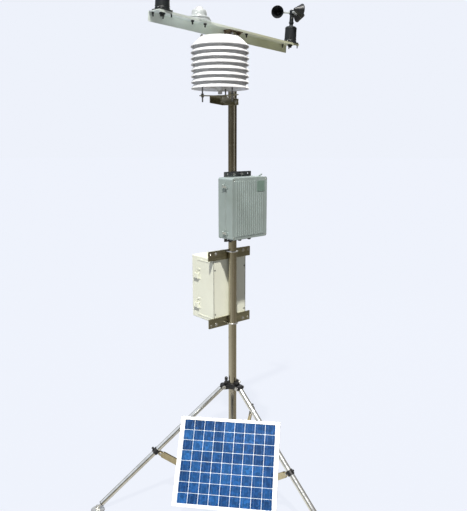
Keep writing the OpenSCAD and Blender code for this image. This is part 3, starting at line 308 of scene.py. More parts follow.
def cell_material(k, base):
    """Polycrystalline cell: large flat grains of slightly different blue under a clear coat."""
    m = bpy.data.materials.new(f"cell_{k}")
    m.use_nodes = True
    t = m.node_tree
    bsdf = t.nodes["Principled BSDF"]
    coord = t.nodes.new("ShaderNodeTexCoord").outputs["Object"]
    v = t.nodes.new("ShaderNodeTexVoronoi")
    v.inputs["Scale"].default_value = 95.0
    v.inputs["Randomness"].default_value = 1.0
    t.links.new(coord, v.inputs["Vector"])
    sep = t.nodes.new("ShaderNodeSeparateColor")
    t.links.new(v.outputs["Color"], sep.inputs[0])
    dark, light = tuple(c * 0.72 for c in base), tuple(c * 1.4 for c in base)
    grains = ramp(t, sep.outputs[0], [(0.0, dark), (0.55, base), (1.0, light)])
    soft = ramp(t, noise(t, coord, 14.0, 3.0, 0.5), [(0.35, (0.84, 0.88, 0.92)), (0.7, (1.16, 1.1, 1.05))])
    t.links.new(mix(t, 1.0, grains, soft, "MULTIPLY"), bsdf.inputs["Base Color"])
    bsdf.inputs["Roughness"].default_value = 0.42
    bsdf.inputs["Specular IOR Level"].default_value = 0.05
    bsdf.inputs["Coat Weight"].default_value = 0.12
    bsdf.inputs["Coat Roughness"].default_value = 0.05
    b = t.nodes.new("ShaderNodeBump")
    b.inputs["Strength"].default_value = 0.06
    b.inputs["Distance"].default_value = 0.0004
    t.links.new(noise(t, coord, 420.0, 2.0, 0.5), b.inputs["Height"])
    t.links.new(b.outputs["Normal"], bsdf.inputs["Normal"])
    return m


CELLS = [cell_material(k, c) for k, c in enumerate([
    (0.008, 0.058, 0.192), (0.007, 0.049, 0.165), (0.010, 0.070, 0.225), (0.006, 0.042, 0.142),
    (0.013, 0.084, 0.255)])]


def glass_material():
    m = bpy.data.materials.new("dome_glass")
    m.use_nodes = True
    t = m.node_tree
    bsdf = t.nodes["Principled BSDF"]
    bsdf.inputs["Base Color"].default_value = (0.95, 0.97, 0.98, 1)
    bsdf.inputs["Transmission Weight"].default_value = 0.4
    bsdf.inputs["IOR"].default_value = 1.45
    coord = t.nodes.new("ShaderNodeTexCoord").outputs["Object"]
    t.links.new(spread(t, noise(t, coord, 60.0, 4.0, 0.6), 0.12, 0.22), bsdf.inputs["Roughness"])
    b = t.nodes.new("ShaderNodeBump")
    b.inputs["Strength"].default_value = 0.03
    b.inputs["Distance"].default_value = 0.0003
    t.links.new(noise(t, coord, 300.0, 2.0, 0.5), b.inputs["Height"])
    t.links.new(b.outputs["Normal"], bsdf.inputs["Normal"])
    return m


M["dome_glass"] = glass_material()
M["cell_blue"] = CELLS[0]


def two_tone(name, low, high, height, soft):
    """Black moulding high on the part, bare metal below the given height."""
    m = M["black_plastic"].copy()
    m.name = name
    t = m.node_tree
    bsdf = t.nodes["Principled BSDF"]
    sep = t.nodes.new("ShaderNodeSeparateXYZ")
    t.links.new(t.nodes.new("ShaderNodeTexCoord").outputs["Object"], sep.inputs[0])
    fac = spread(t, sep.outputs["Z"], 0.0, 1.0, height, height + soft)
    black = bsdf.inputs["Base Color"].links[0].from_socket
    grain = ramp(t, noise(t, sep.inputs[0].links[0].from_socket, 40.0), [(0.3, low), (0.7, high)])
    t.links.new(mix(t, fac, grain, black), bsdf.inputs["Base Color"])
    t.links.new(spread(t, fac, 0.9, 0.0, 0.0, 1.0), bsdf.inputs["Metallic"])
    return m


def arm_painted_light_gradient(m):
    """Painted light and shade along the arm: cool grey at one end, olive at the other, over one coating."""
    t = m.node_tree
    bsdf = t.nodes["Principled BSDF"]
    sep = t.nodes.new("ShaderNodeSeparateXYZ")
    t.links.new(t.nodes.new("ShaderNodeTexCoord").outputs["Object"], sep.inputs[0])
    painted_light_tint = ramp(t, spread(t, sep.outputs["X"], 0.0, 1.0, -0.12, 0.14),
                [(0.0, (1.06, 1.1, 1.12)), (1.0, (0.86, 0.84, 0.64))])
    base = bsdf.inputs["Base Color"].links[0].from_socket
    t.links.new(mix(t, 1.0, base, painted_light_tint, "MULTIPLY"), bsdf.inputs["Base Color"])


# Painted light and shade: the arm's one coating shifts from cool grey to olive along its length.
arm_painted_light_gradient(M["arm_paint"])
M["leg_ends"] = two_tone("leg_ends", (0.5, 0.49, 0.45), (0.68, 0.67, 0.62), height=0.12, soft=0.004)
slots = {s["node"]: s["material_slot"] for s in frame["record"]["subparts"]}
slots.update({f"leg_fittings_{i}": "leg_ends" for i in (1, 2, 3)})
for name, obj in nodes.items():
    m = M[slots[name]]
    if obj.material_slots:
        for s in obj.material_slots:
            s.material = m
    else:
        obj.data.materials.append(m)


# ---------------------------------------------------------------- mesh pieces
def finish_mesh(bm, name, place, mats, body, smooth=True, bevel=None):
    me = bpy.data.meshes.new(name)
    bmesh.ops.recalc_face_normals(bm, faces=bm.faces)
    bm.transform(place)
    bm.to_mesh(me)
    bm.free()
    o = bpy.data.objects.new(name, me)
    bpy.context.scene.collection.objects.link(o)
    for m in (mats if isinstance(mats, (list, tuple)) else [mats]):
        me.materials.append(m)
    if bevel:
        b = o.modifiers.new("edges", "BEVEL")
        b.width = bevel
        b.segments = 2
        b.limit_method = "ANGLE"
        b.angle_limit = math.radians(35)
    if smooth:
        for p in me.polygons:
            p.use_smooth = True
        me.set_sharp_from_angle(angle=math.radians(38))
    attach(o, body)
    return o


def add_box(bm, lo, hi, mat=0):
    vs = [bm.verts.new((x, y, z)) for x in (lo[0], hi[0]) for y in (lo[1], hi[1]) for z in (lo[2], hi[2])]
    faces = [(0, 1, 3, 2), (4, 6, 7, 5), (0, 4, 5, 1), (2, 3, 7, 6), (0, 2, 6, 4), (1, 5, 7, 3)]
    for f in faces:
        face = bm.faces.new([vs[k] for k in f])
        face.material_index = mat


def add_turned(bm, profile, steps, place, wave=None):
    """A closed shape turned about Z from (radius, height) points; wave = (lobes, depth, inner radius)."""
    rings, made = [], []
    for r, z in profile:
        if r <= 1e-7:
            v = bm.verts.new((0, 0, z))
            rings.append([v])
            made.append(v)
            continue
        ring = []
        for k in range(steps):
            a = 2 * math.pi * k / steps
            rr = r * (1 + wave[1] * math.cos(wave[0] * a)) if wave and r > wave[2] else r
            v = bm.verts.new((rr * math.cos(a), rr * math.sin(a), z))
            ring.append(v)
            made.append(v)
        rings.append(ring)
    for a, b in zip(rings, rings[1:]):
        for k in range(steps):
            j = (k + 1) % steps
            if len(a) == 1 and len(b) == 1:
                continue
            if len(a) == 1:
                bm.faces.new((a[0], b[k], b[j]))
            elif len(b) == 1:
                bm.faces.new((a[k], b[0], a[j]))
            else:
                bm.faces.new((a[k], b[k], b[j], a[j]))
    bmesh.ops.transform(bm, matrix=place, verts=made)


# Panel face: white backsheet, cells with cut corners, dark busbars
BUS_SLOT = 1 + len(CELLS)


def panel_face():
    bm = bmesh.new()
    w, h = panel_w - 2 * frame_face, panel_h - 2 * frame_face_h
    cols, rows = 9, 8
    cw, ch = w / cols, h / rows
    edge, sheet_y0, sheet_y1 = 0.0025, 0.0035, 0.0067
    sheet_x, sheet_z = panel_w / 2 - edge, panel_h / 2 - edge
    add_box(bm, (-sheet_x, sheet_y0, -sheet_z), (sheet_x, sheet_y1, sheet_z))
    face_y, back_y = 0.0030, 0.0036
    gap, cut = 0.0008, 0.0016
    bus, proud, sunk, over = 0.00045, 0.00008, 0.0001, 0.0004
    rnd = random.Random(5)
    for i in range(cols):
        for j in range(rows):
            x0, x1 = -w / 2 + i * cw + gap, -w / 2 + (i + 1) * cw - gap
            z0, z1 = -h / 2 + j * ch + gap, -h / 2 + (j + 1) * ch - gap
            pts = [(x0 + cut, z0), (x1 - cut, z0), (x1, z0 + cut), (x1, z1 - cut),
                   (x1 - cut, z1), (x0 + cut, z1), (x0, z1 - cut), (x0, z0 + cut)]
            k = rnd.choice([0, 0, 1, 1, 2, 3, 4])
            low = [bm.verts.new((x, back_y, z)) for x, z in pts]
            top = [bm.verts.new((x, face_y, z)) for x, z in pts]
            f = bm.faces.new(top)
            f.material_index = 1 + k
            for a in range(8):
                b = (a + 1) % 8
                q = bm.faces.new((low[a], low[b], top[b], top[a]))
                q.material_index = 1 + k
            xm = (x0 + x1) / 2
            for xb in (xm - (x1 - x0) / 4, xm + (x1 - x0) / 4):
                lo, hi = (xb - bus, face_y - proud, z0 - over), (xb + bus, face_y + sunk, z1 + over)
                add_box(bm, lo, hi, BUS_SLOT)
    mats = [EXTRA["white_line"], *CELLS, EXTRA["silver_line"]]
    return finish_mesh(bm, "panel_face", PANEL, mats, "panel", smooth=False)


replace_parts(panel_face(), "panel_laminate")


# ---------------------------------------------------------------- small hardware
def screw_head(bm, place, r, h, recess=True):
    """Round head with a socket, seated at the origin of place and pointing along its +Z."""
    prof = [(0, 0), (r, 0), (r, h * 0.7), (r * 0.82, h)]
    prof += [(r * 0.42, h), (r * 0.40, h * 0.45), (0, h * 0.45)] if recess else [(0, h)]
    add_turned(bm, prof, 20, place)


def hex_head(bm, place, s, h):
    """Hexagon head over a washer; s is the radius to its corners."""
    add_turned(bm, [(0, 0), (s * 1.32, 0), (s * 1.32, 0.9 * MM), (0, 0.9 * MM)], 28, place)
    base, top = 0.8 * MM, 0.8 * MM + h
    add_turned(bm, [(0, base), (s, base), (s, base + h * 0.78), (s * 0.86, top), (0, top)], 6, place)


def ring(bm, place, r, w, h, z, steps=40):
    """Flat ring standing w proud of radius r, from z up to z + h, with eased corners."""
    e = min(w, h) * 0.3
    inner, outer, top = r - 0.6 * MM, r + w, z + h
    prof = [(inner, z), (outer - e, z), (outer, z + e), (outer, top - e), (outer - e, top), (inner, top)]
    prof.append(prof[0])
    add_turned(bm, prof, steps, place)


def fluted(bm, place, r, h, lobes):
    """Sleeve with a lobed outside, the grip of a clamp knob."""
    bore = r * 0.55
    prof = [(bore, 0), (r * 0.97, 0), (r, h * 0.12), (r, h * 0.85), (r * 0.9, h), (bore, h), (bore, 0)]
    add_turned(bm, prof, lobes * 6, place, wave=(lobes, 0.055, r * 0.8))


# Tripod: hinge bolts, knob grips, collars on the legs, brace bolts, rims and bolts of the feet
bolts, knobs = bmesh.new(), bmesh.new()
for i in (1, 2, 3):
    for s in (-1, 1):
        side = leg_frame(i) @ move(hinge_r0, 0, hinge_z) @ turn(-s * math.pi / 2, "X") @ move(z=0.01985)
        hex_head(bolts, side, 0.0074, 0.0055)
    r_head, h_head = (7 * MM, 13 * MM) if i == 1 else (5.5 * MM, 8 * MM)
    fluted(knobs, leg_frame(i) @ move(31 * MM, 0, hinge_z + 31.2 * MM), r_head * 1.07, h_head * 0.96, 8)
finish_mesh(bolts, "hub_bolts", Matrix(), M["fastener_steel"], "hub")
finish_mesh(knobs, "hub_knob_grips", Matrix(), M["black_plastic"], "hub")

for i in (1, 2, 3):
    d = down_leg(i)
    bm = bmesh.new()
    knob = d @ move(leg_r + 2.5 * MM, 0, brace_at) @ turn(math.pi / 2, "Y") @ move(z=4.3 * MM)
    fluted(bm, knob, 5.9 * MM, 5.4 * MM, 7)
    ring(bm, d, leg_r, 0.7 * MM, 3 * MM, z=-leg_length + 25.6 * MM)
    for k in (-9, 7):
        ring(bm, d @ move(z=brace_at), leg_r + 3 * MM, 0.8 * MM, 2 * MM, z=k * MM)
    finish_mesh(bm, f"leg_{i}_grips", Matrix(), M["black_plastic"], f"leg_{i}")
    bm = bmesh.new()
    for s in (-1, 1):
        side = leg_frame(i) @ move(*BRACE_TOP) @ turn(-s * math.pi / 2, "X") @ move(z=6.1 * MM)
        hex_head(bm, side, 4.6 * MM, 3 * MM)
    finish_mesh(bm, f"brace_{i}_bolts", Matrix(), M["fastener_steel"], f"leg_{i}")
    bm = bmesh.new()
    foot = leg_frame(i) @ move(foot_r)
    ring(bm, foot, 31 * MM, 0.9 * MM, 3.2 * MM, z=0.3 * MM)
    finish_mesh(bm, f"foot_{i}_rim", Matrix(), EXTRA["rubber"], f"foot_{i}")
    bm = bmesh.new()
    for s in (-1, 1):
        side = foot @ move(z=foot_z) @ turn(-s * math.pi / 2, "X") @ move(z=10.1 * MM)
        hex_head(bm, side, 5 * MM, 3.2 * MM)
    finish_mesh(bm, f"foot_{i}_bolts", Matrix(), M["fastener_steel"], f"foot_{i}")

# Wind sensors: ribs and set screws on the housings, the plug under the arm
plug = [(0, -24), (7.5, -24), (8.5, -22), (8.5, -15.6), (0, -15.6)]
bm, bs = bmesh.new(), bmesh.new()
for at in (vane_at, cups_at):
    h = ARM @ move(at, sensor_y, flange_top)
    ring(bm, h, 28.2 * MM, 0.8 * MM, 1.6 * MM, z=12 * MM)
    ring(bm, h, 27.1 * MM, 0.7 * MM, 1.4 * MM, z=wind_h - 11 * MM)
    ring(bm, h, 27.05 * MM, 0.7 * MM, 1.4 * MM, z=wind_h - 8 * MM)
    add_turned(bm, [(r * MM, z * MM) for r, z in plug], 28, h)
    for k in range(3):
        side = h @ turn(math.radians(120 * k + 75), "Z") @ move(28.4 * MM, 0, 4.5 * MM)
        screw_head(bs, side @ turn(math.pi / 2, "Y"), 2.2 * MM, 1.2 * MM)
    for k in range(4):
        bolt = ARM @ move(at, sensor_y, 7 * MM) @ turn(math.radians(45 + 90 * k), "Z") @ move(flange_bolt_r)
        screw_head(bs, bolt, 4 * MM, 1.0 * MM)
finish_mesh(bm, "wind_housing_ribs", Matrix(), M["sensor_black"], "station")
finish_mesh(bs, "wind_housing_screws", Matrix(), M["fastener_steel"], "station")
for name, at, body in (("vane_set_screws", vane_at, "vane"), ("cup_set_screws", cups_at, "cup_wheel")):
    bm = bmesh.new()
    h = ARM @ move(at, sensor_y, flange_top)
    for k in range(2):
        side = h @ turn(math.pi * k + 0.8, "Z") @ move(9.4 * MM, 0, wind_h + 38 * MM) @ turn(math.pi / 2, "Y")
        screw_head(bm, side, 2 * MM, 1 * MM)
    add_turned(bm, [(0, 0), (6 * MM, 0), (5.5 * MM, 2 * MM), (3 * MM, 3 * MM), (0, 3 * MM)], 6,
               h @ move(z=wind_h + (80.8 if body == "vane" else 74.8) * MM))
    finish_mesh(bm, name, Matrix(), M["fastener_steel"], body)

# Rolled rims of the cups, and bright sleeves on their arms
bm = bmesh.new()
rotor = ARM @ move(cups_at, sensor_y, rotor_z) @ turn(cup_turn - arm_azimuth, "Z")
for k in range(3):
    cup = rotor @ turn(math.radians(120 * k), "Z") @ move(cup_reach) @ turn(-math.pi / 2, "X")
    ring(bm, cup, cup_r, 0.6 * MM, 1.8 * MM, z=12.1 * MM, steps=48)
finish_mesh(bm, "cup_rims", Matrix(), M["cup_plastic"], "cup_wheel")
sleeve = [(4, 11.6), (5.6, 11.8), (5.6, 15), (4.6, 17), (4.4, 42), (4, 42.6), (4, 11.6)]
bm = bmesh.new()
for k in range(3):
    stay = rotor @ turn(math.radians(120 * k), "Z") @ turn(math.pi / 2, "Y")
    add_turned(bm, [(r * MM, z * MM) for r, z in sleeve], 28, stay)
finish_mesh(bm, "cup_stays", Matrix(), EXTRA["bright_alloy"], "cup_wheel")

# Sun sensor: white receiver, rings and screws, drying cartridge, level
sun = ARM @ move(sun_at, sensor_y)
bm = bmesh.new()
receiver = [(0, 44.02), (14, 44.02), (13, 47.6), (9, 50.6), (0, 52.4)]
add_turned(bm, [(r * MM, z * MM) for r, z in receiver], 32, sun)
finish_mesh(bm, "sun_receiver", Matrix(), EXTRA["diffuser"], "station")
bm = bmesh.new()
ring(bm, sun, 30.4 * MM, 0.7 * MM, 1.6 * MM, z=26 * MM)
ring(bm, sun, 18.1 * MM, 1.6 * MM, 1.8 * MM, z=43.6 * MM)
ring(bm, sun, 44 * MM, 0.7 * MM, 1.4 * MM, z=10.5 * MM, steps=56)
for k in range(3):
    screw_head(bm, sun @ turn(math.radians(120 * k + 90), "Z") @ move(37 * MM, 0, 14 * MM), 3.2 * MM, 2 * MM)
add_turned(bm, [(0, 0), (6 * MM, 0), (6 * MM, 5 * MM), (4.5 * MM, 6 * MM), (0, 6 * MM)], 24,
           sun @ turn(math.radians(200), "Z") @ move(29.6 * MM, 0, 21 * MM) @ turn(math.pi / 2, "Y"))
finish_mesh(bm, "sun_rings", Matrix(), M["sun_metal"], "station")
bm = bmesh.new()
level = [(0, 13.8), (5.5, 13.8), (5.5, 16), (4.6, 16.8), (0, 17.2)]
add_turned(bm, [(r * MM, z * MM) for r, z in level], 28, sun @ turn(math.radians(-35), "Z") @ move(36.5 * MM))
finish_mesh(bm, "sun_level", Matrix(), EXTRA["level_glass"], "station")

# Shield: washers on the rods, rings of the probe's filter, inner collars of the louvres
bore = 3.1 * MM
bm = bmesh.new()
for a in rod_turns:
    rod = SHIELD @ turn(math.radians(a - shield_azimuth), "Z") @ move(rod_ring)
    for r, z in ((7.5 * MM, plate_z + 8.3 * MM), (7 * MM, cap_rim_z + cap_h - 1 * MM)):
        add_turned(bm, [(bore, 0), (r, 0), (r, 1 * MM), (bore, 1 * MM), (bore, 0)], 28, rod @ move(z=z))
finish_mesh(bm, "rod_washers", Matrix(), M["fastener_steel"], "station")
bm = bmesh.new()
for k in range(9):
    ring(bm, SHIELD, 8 * MM, 0.5 * MM, 2.4 * MM, z=shield_low + (40 + 7 * k) * MM)
finish_mesh(bm, "probe_filter", Matrix(), M["probe_white"], "station")
# Upturned inner collar of each louvre, behind the rim above it
collar = [(106.6, -0.3), (105.2, 3), (104.0, 7), (103.4, 11),
          (102.2, 11), (102.8, 7), (104.0, 3), (105.2, -0.3), (106.6, -0.3)]
bm = bmesh.new()
for k in range(louvre_count):
    low = shield_low + 18 * MM + louvre_pitch * k - (0 if k else 0.4 * MM)
    add_turned(bm, [(x * MM, z * MM) for x, z in collar], 96, SHIELD @ move(z=low))
finish_mesh(bm, "louvre_collars", Matrix(), M["shield_white"], "station")

# Logger box: lid screws, the blank plate's rivets, gasket
plate_x, plate_z_mid, plate_front = 64 * MM, 94 * MM, lid_front - 1.4 * MM
bm = bmesh.new()
for x in (-logger_w / 2 + 9 * MM, logger_w / 2 - 9 * MM):
    for z in (-logger_h / 2 + 9 * MM, logger_h / 2 - 9 * MM):
        screw_head(bm, LOGGER @ move(x, lid_front, z) @ turn(math.pi / 2, "X"), 3 * MM, 1.1 * MM)
for sx in (-1, 1):
    for sz in (1, -1):
        corner = LOGGER @ move(plate_x + sx * 12.5 * MM, plate_front, plate_z_mid + sz * 19 * MM)
        screw_head(bm, corner @ turn(math.pi / 2, "X"), 1.3 * MM, 0.6 * MM, recess=False)
finish_mesh(bm, "logger_lid_screws", Matrix(), M["fastener_steel"], "logger_door")


def gasket(name, place, w, h, y0, y1, r, inset, body):
    """Rubber seal that follows a w by h rounded rectangle, inset from it, from y0 to y1."""
    bm = bmesh.new()
    width = 2.2 * MM

    def loop(y, k):
        out = []
        rr = max(r - k, 1 * MM)
        cx, cz = w / 2 - k - rr, h / 2 - k - rr
        for sx, sz, a0 in ((1, 1, 0), (-1, 1, 90), (-1, -1, 180), (1, -1, 270)):
            for j in range(7):
                a = math.radians(a0 + 15 * j)
                out.append(bm.verts.new((sx * cx + rr * math.cos(a), y, sz * cz + rr * math.sin(a))))
        return out

    loops = [loop(y0, inset), loop(y1, inset), loop(y1, inset + width), loop(y0, inset + width)]
    n = len(loops[0])
    for a, b in zip(loops, loops[1:] + loops[:1]):
        for k in range(n):
            j = (k + 1) % n
            bm.faces.new((a[k], a[j], b[j], b[k]))
    finish_mesh(bm, name, place, EXTRA["rubber"], body)


seal, skim = 0.6 * MM, 0.02 * MM
gasket("logger_gasket", LOGGER, logger_w, logger_h, logger_part - seal, logger_part - skim,
       9 * MM, 0.8 * MM, "station")
gasket("battery_back_seam", BATTERY, battery_w, battery_h, -battery_back + skim, -battery_back + 0.4 * MM,
       5 * MM, 1.2 * MM, "station")
gasket("battery_gasket", BATTERY, battery_w, battery_h, door_y - seal, door_y - skim,
       5 * MM, 0.8 * MM, "station")

# Inside the logger: chips, terminal screws
bm = bmesh.new()
board_out = logger_back + 3.5 * MM + 9.6 * MM
board = LOGGER @ move(y=-board_out) @ turn(math.pi / 2, "X")
rnd = random.Random(3)
for k in range(14):
    x, z = rnd.uniform(-70, 70), rnd.uniform(-50, 95)
    if -54 < x < 62 and -14 < z < 74:
        z = 84 + 8 * rnd.random()
    w, d = rnd.choice([(4, 4), (8, 5), (6, 3)])
    add_box(bm, ((x - w) * MM, (z - d) * MM, -0.1 * MM), ((x + w) * MM, (z + d) * MM, 2.2 * MM))
finish_mesh(bm, "logger_chips", board, EXTRA["chip"], "station", bevel=0.3 * MM)
bm = bmesh.new()
for k in range(4):
    for j in range(5):
        screw_head(bm, board @ move((-60 + 36 * k + 3 + 6 * j) * MM, -72 * MM, 9.3 * MM), 1.8 * MM, 0.8 * MM)
for x in (-70, 70):
    for z in (-95, 95):
        screw_head(bm, board @ move(x * MM, z * MM, -0.1 * MM), 3 * MM, 1.6 * MM)
finish_mesh(bm, "logger_terminal_screws", Matrix(), M["fastener_steel"], "station")

# Battery box: corner screws on its back, latch pads, door screws
bm = bmesh.new()
for x in (-battery_w / 2 + 9 * MM, battery_w / 2 - 9 * MM):
    for z in (-battery_h / 2 + 40 * MM, battery_h / 2 - 54 * MM):
        screw_head(bm, BATTERY @ move(x, -battery_back, z) @ turn(-math.pi / 2, "X"), 3.6 * MM, 1.4 * MM)
finish_mesh(bm, "battery_box_screws", Matrix(), M["bracket_dark"], "station")
bm = bmesh.new()
wall = battery_w / 2
for latch_z in (-88, 56):
    for dz in (28, -15):
        add_box(bm, (wall - 0.4 * MM, door_y + 3 * MM, (latch_z + dz) * MM),
                (wall + 2.2 * MM, door_y + 26 * MM, (latch_z + dz + 9) * MM))
finish_mesh(bm, "battery_latch_pads", BATTERY, M["box_cream"], "station", bevel=0.8 * MM)
bm = bmesh.new()
for x in (-battery_w / 2 + 10 * MM, battery_w / 2 - 10 * MM):
    for z in (-battery_h / 2 + 10 * MM, battery_h / 2 - 10 * MM):
        screw_head(bm, BATTERY @ move(x, door_y - door_depth, z) @ turn(math.pi / 2, "X"), 3.2 * MM, 1.0 * MM)
finish_mesh(bm, "battery_door_screws", Matrix(), M["fastener_steel"], "battery_door")
# Bright bolt heads on the bars
bm = bmesh.new()
for k, low in enumerate((battery_low - 22 * MM, battery_low + battery_h - 7 * MM)):
    z = low + 22.5 * MM + (2 * k - 1) * 8 * MM
    for s in (-1, 1):
        near = BAT0 @ move(s * (battery_w / 2 - 16 * MM), -mast_r, z) @ turn(-math.pi / 2, "X")
        end = BAT0 @ move(s * (bar_length / 2 - 13 * MM), -mast_r, z) @ turn(-math.pi / 2, "X")
        hex_head(bm, near, 6.2 * MM, 4.4 * MM)
        screw_head(bm, end, 5.4 * MM, 3.4 * MM)
finish_mesh(bm, "bar_bolts", Matrix(), M["fastener_steel"], "station")
# Battery terminals and the screws of the controller's terminals
bm = bmesh.new()
bat = BAT0 @ move(battery_side, -battery_back - 62 * MM, battery_low + 3.5 * MM)
for s in (-1, 1):
    hex_head(bm, bat @ move(s * 58 * MM, -24 * MM, 136 * MM), 5 * MM, 4 * MM)
finish_mesh(bm, "battery_terminals", Matrix(), EXTRA["copper"], "station")
bm = bmesh.new()
ctl = BAT0 @ move(battery_side, -battery_back - 3.5 * MM, battery_low + 215 * MM)
for k in range(6):
    place = ctl @ move((-50 + 20 * k) * MM, -34 * MM, -25 * MM) @ turn(math.pi / 2, "X")
    screw_head(bm, place, 3 * MM, 1 * MM)
finish_mesh(bm, "controller_screws", Matrix(), M["fastener_steel"], "station")

# Panel back: bolts through the rails and plate, mitre seams on the frame's front
bm = bmesh.new()
for s in (-1, 1):
    for z in (-panel_h / 2 + 17 * MM, panel_h / 2 - 17 * MM):
        hex_head(bm, PANEL @ move(s * 110 * MM, 29 * MM, z) @ turn(-math.pi / 2, "X"), 5.2 * MM, 4 * MM)
    for z in (-17 * MM, 17 * MM):
        hex_head(bm, PANEL @ move(s * 110 * MM, 35 * MM, z) @ turn(-math.pi / 2, "X"), 5.2 * MM, 4 * MM)
finish_mesh(bm, "panel_bolts", Matrix(), M["fastener_steel"], "panel")
bm = bmesh.new()
for sx in (-1, 1):
    for sz in (-1, 1):
        a = Vector((sx * (panel_w / 2 - 1.2 * MM), 0, sz * (panel_h / 2 - 1.2 * MM)))
        b = Vector((sx * (panel_w / 2 - frame_face + 0.3 * MM), 0,
                    sz * (panel_h / 2 - frame_face_h + 0.3 * MM)))
        d = (b - a).normalized()
        n = Vector((-d.z, 0, d.x)) * 0.2 * MM
        lo = [a - n, b - n, b + n, a + n]
        front = [bm.verts.new((v.x, -0.06 * MM, v.z)) for v in lo]
        rear = [bm.verts.new((v.x, 0.2 * MM, v.z)) for v in lo]
        bm.faces.new(front)
        bm.faces.new(rear[::-1])
        for k in range(4):
            j = (k + 1) % 4
            bm.faces.new((front[k], rear[k], rear[j], front[j]))
finish_mesh(bm, "panel_mitres", PANEL, EXTRA["seam"], "panel", smooth=False)

# Crossarm: rivets in the flat and in the web
bm = bmesh.new()
for at in (-330, -120, 60, 330):
    in_flat = ARM @ move(at * MM, web_y - 15 * MM, 0)
    in_web = ARM @ move(at * MM, web_y, -20 * MM) @ turn(-math.pi / 2, "X")
    for place in (in_flat, in_web):
        screw_head(bm, place, 3.2 * MM, 1.6 * MM, recess=False)
finish_mesh(bm, "arm_rivets", Matrix(), M["fastener_steel"], "station")

# Thread caps on the screw ends under the arm's flat: two of the sun sensor's, one bolt end by the mast
bolt_end_at = 78 * MM
cap = [(0, -19), (2.6, -18.6), (3.4, -17), (3.6, -9),
       (6.2, -8.4), (6.6, -7), (6.6, -3.4), (6.2, -3.05), (0, -3.05)]
bm = bmesh.new()
for at in (sun_at - sun_screw_at, sun_at + sun_screw_at, bolt_end_at):
    add_turned(bm, [(r * MM, z * MM) for r, z in cap], 24, ARM @ move(at, sensor_y, 0))
finish_mesh(bm, "arm_thread_caps", Matrix(), M["black_plastic"], "station")

# Mast: seams where the tube's lengths join
bm = bmesh.new()
for z in (812, 1712):
    ring(bm, Matrix(), mast_r, 0.5 * MM, 2.2 * MM, z=z * MM, steps=64)
finish_mesh(bm, "mast_joint_rings", Matrix(), M["mast_steel"], "station")

# ---------------------------------------------------------------- stage, light and camera
SKY = (0.855, 0.887, 0.965)
KEY_SHINES = (0.06, 0.73, -1.20)
DIFFUSE_LIGHT = [(0.0, (1.35, 1.4, 1.6)), (0.33, (1.0, 1.02, 1.15)), (0.46, (0.42, 0.42, 0.42)),
                 (1.0, (0.42, 0.42, 0.42))]


def stage_floor():
    s = 60.0
    bm = bmesh.new()
    bm.faces.new([bm.verts.new(p) for p in ((-s, -s, 0), (s, -s, 0), (s, s, 0), (-s, s, 0))])
    me = bpy.data.meshes.new("floor")
    bm.to_mesh(me)
    bm.free()
    o = bpy.data.objects.new("floor", me)
    bpy.context.scene.collection.objects.link(o)
    m = bpy.data.materials.new("floor_pale")
    m.use_nodes = True
    bsdf = m.node_tree.nodes["Principled BSDF"]
    bsdf.inputs["Base Color"].default_value = (0.03, 0.03, 0.03, 1)
    bsdf.inputs["Roughness"].default_value = 1.0
    bsdf.inputs["Specular IOR Level"].default_value = 0.0
    bsdf.inputs["Emission Color"].default_value = (0.851, 0.886, 0.972, 1)
    bsdf.inputs["Emission Strength"].default_value = 0.955
    me.materials.append(m)
    o.visible_diffuse = False
    o.visible_glossy = False


stage_floor()

# Pale backdrop for the camera; banded sky for the light on the object, dimmer on matt surfaces from above
world = bpy.data.worlds.new("studio")
bpy.context.scene.world = world
world.use_nodes = True
t = world.node_tree
bg = t.nodes["Background"]
coord = t.nodes.new("ShaderNodeTexCoord").outputs["Generated"]
sep = t.nodes.new("ShaderNodeSeparateXYZ")
t.links.new(coord, sep.inputs[0])
up = ramp(t, spread(t, sep.outputs["Z"], 0.0, 1.0, -1.0, 1.0),
          [(0.0, (0.60, 0.61, 0.68)), (0.34, (0.62, 0.61, 0.54)), (0.44, (0.16, 0.145, 0.10)),
           (0.52, (0.07, 0.065, 0.05)), (0.58, (0.11, 0.115, 0.11)), (0.66, (0.50, 0.53, 0.62)),
           (1.0, (0.72, 0.77, 0.90))])
side = ramp(t, spread(t, sep.outputs["X"], 0.0, 1.0, -1.0, 1.0),
            [(0.0, (1.4, 1.4, 1.38)), (0.3, (1.15, 1.15, 1.12)), (0.5, (0.75, 0.73, 0.7)),
             (0.62, (0.8, 0.77, 0.7)), (0.66, (1.5, 1.47, 1.4)), (0.70, (0.7, 0.66, 0.58)),
             (1.0, (0.55, 0.52, 0.47))])
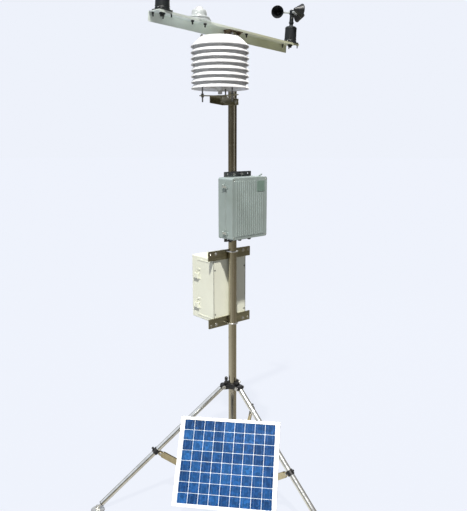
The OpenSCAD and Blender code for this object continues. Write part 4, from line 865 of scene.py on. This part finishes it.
light = mix(t, 1.0, up, side, "MULTIPLY")
path = t.nodes.new("ShaderNodeLightPath")
ground = ramp(t, spread(t, sep.outputs["Z"], 0.0, 1.0, -1.0, 1.0), DIFFUSE_LIGHT)
matt = mix(t, 1.0, light, ground, "MULTIPLY")
light = mix(t, path.outputs["Is Diffuse Ray"], light, matt)
t.links.new(mix(t, path.outputs["Is Camera Ray"], light, (*SKY, 1.0)), bg.inputs["Color"])
bg.inputs["Strength"].default_value = 1.0

sun_data = bpy.data.lights.new("key", "SUN")
sun_data.energy = 5.2
sun_data.angle = math.radians(1.6)
sun_data.color = (1.0, 0.97, 0.91)
key = bpy.data.objects.new("key", sun_data)
key.rotation_euler = Vector(KEY_SHINES).to_track_quat("-Z", "Y").to_euler()
bpy.context.scene.collection.objects.link(key)


def area(name, place, target, size, power, colour=(1, 1, 1)):
    d = bpy.data.lights.new(name, "AREA")
    d.energy = power
    d.color = colour
    d.size = size
    o = bpy.data.objects.new(name, d)
    o.location = place
    o.rotation_euler = (Vector(target) - Vector(place)).to_track_quat("-Z", "Y").to_euler()
    bpy.context.scene.collection.objects.link(o)


area("fill", (3.4, -2.8, 1.9), (0, 0, 1.3), 1.8, 5, (0.96, 0.97, 1.0))
area("back", (1.2, 3.4, 3.0), (0, 0, 1.4), 1.6, 30)

# Camera fitted to the photograph: focal length and shift in its pixels
FOCAL_PX, LONG_SIDE_PX, SHIFT_PX = 574.52, 511, 1.03
CAMERA_AT, CAMERA_DOWN = (0, -2.6144, 1.7265), 11.162

scene = bpy.context.scene
scene.view_settings.view_transform = "Standard"
cam_data = bpy.data.cameras.new("camera")
cam_data.sensor_width = 36.0
cam_data.lens = FOCAL_PX / LONG_SIDE_PX * cam_data.sensor_width
cam_data.shift_x = SHIFT_PX / LONG_SIDE_PX
cam_data.clip_end = 200
cam = bpy.data.objects.new("camera", cam_data)
cam.location = CAMERA_AT
cam.rotation_euler = (math.radians(90 - CAMERA_DOWN), 0, 0)
scene.collection.objects.link(cam)
scene.camera = cam
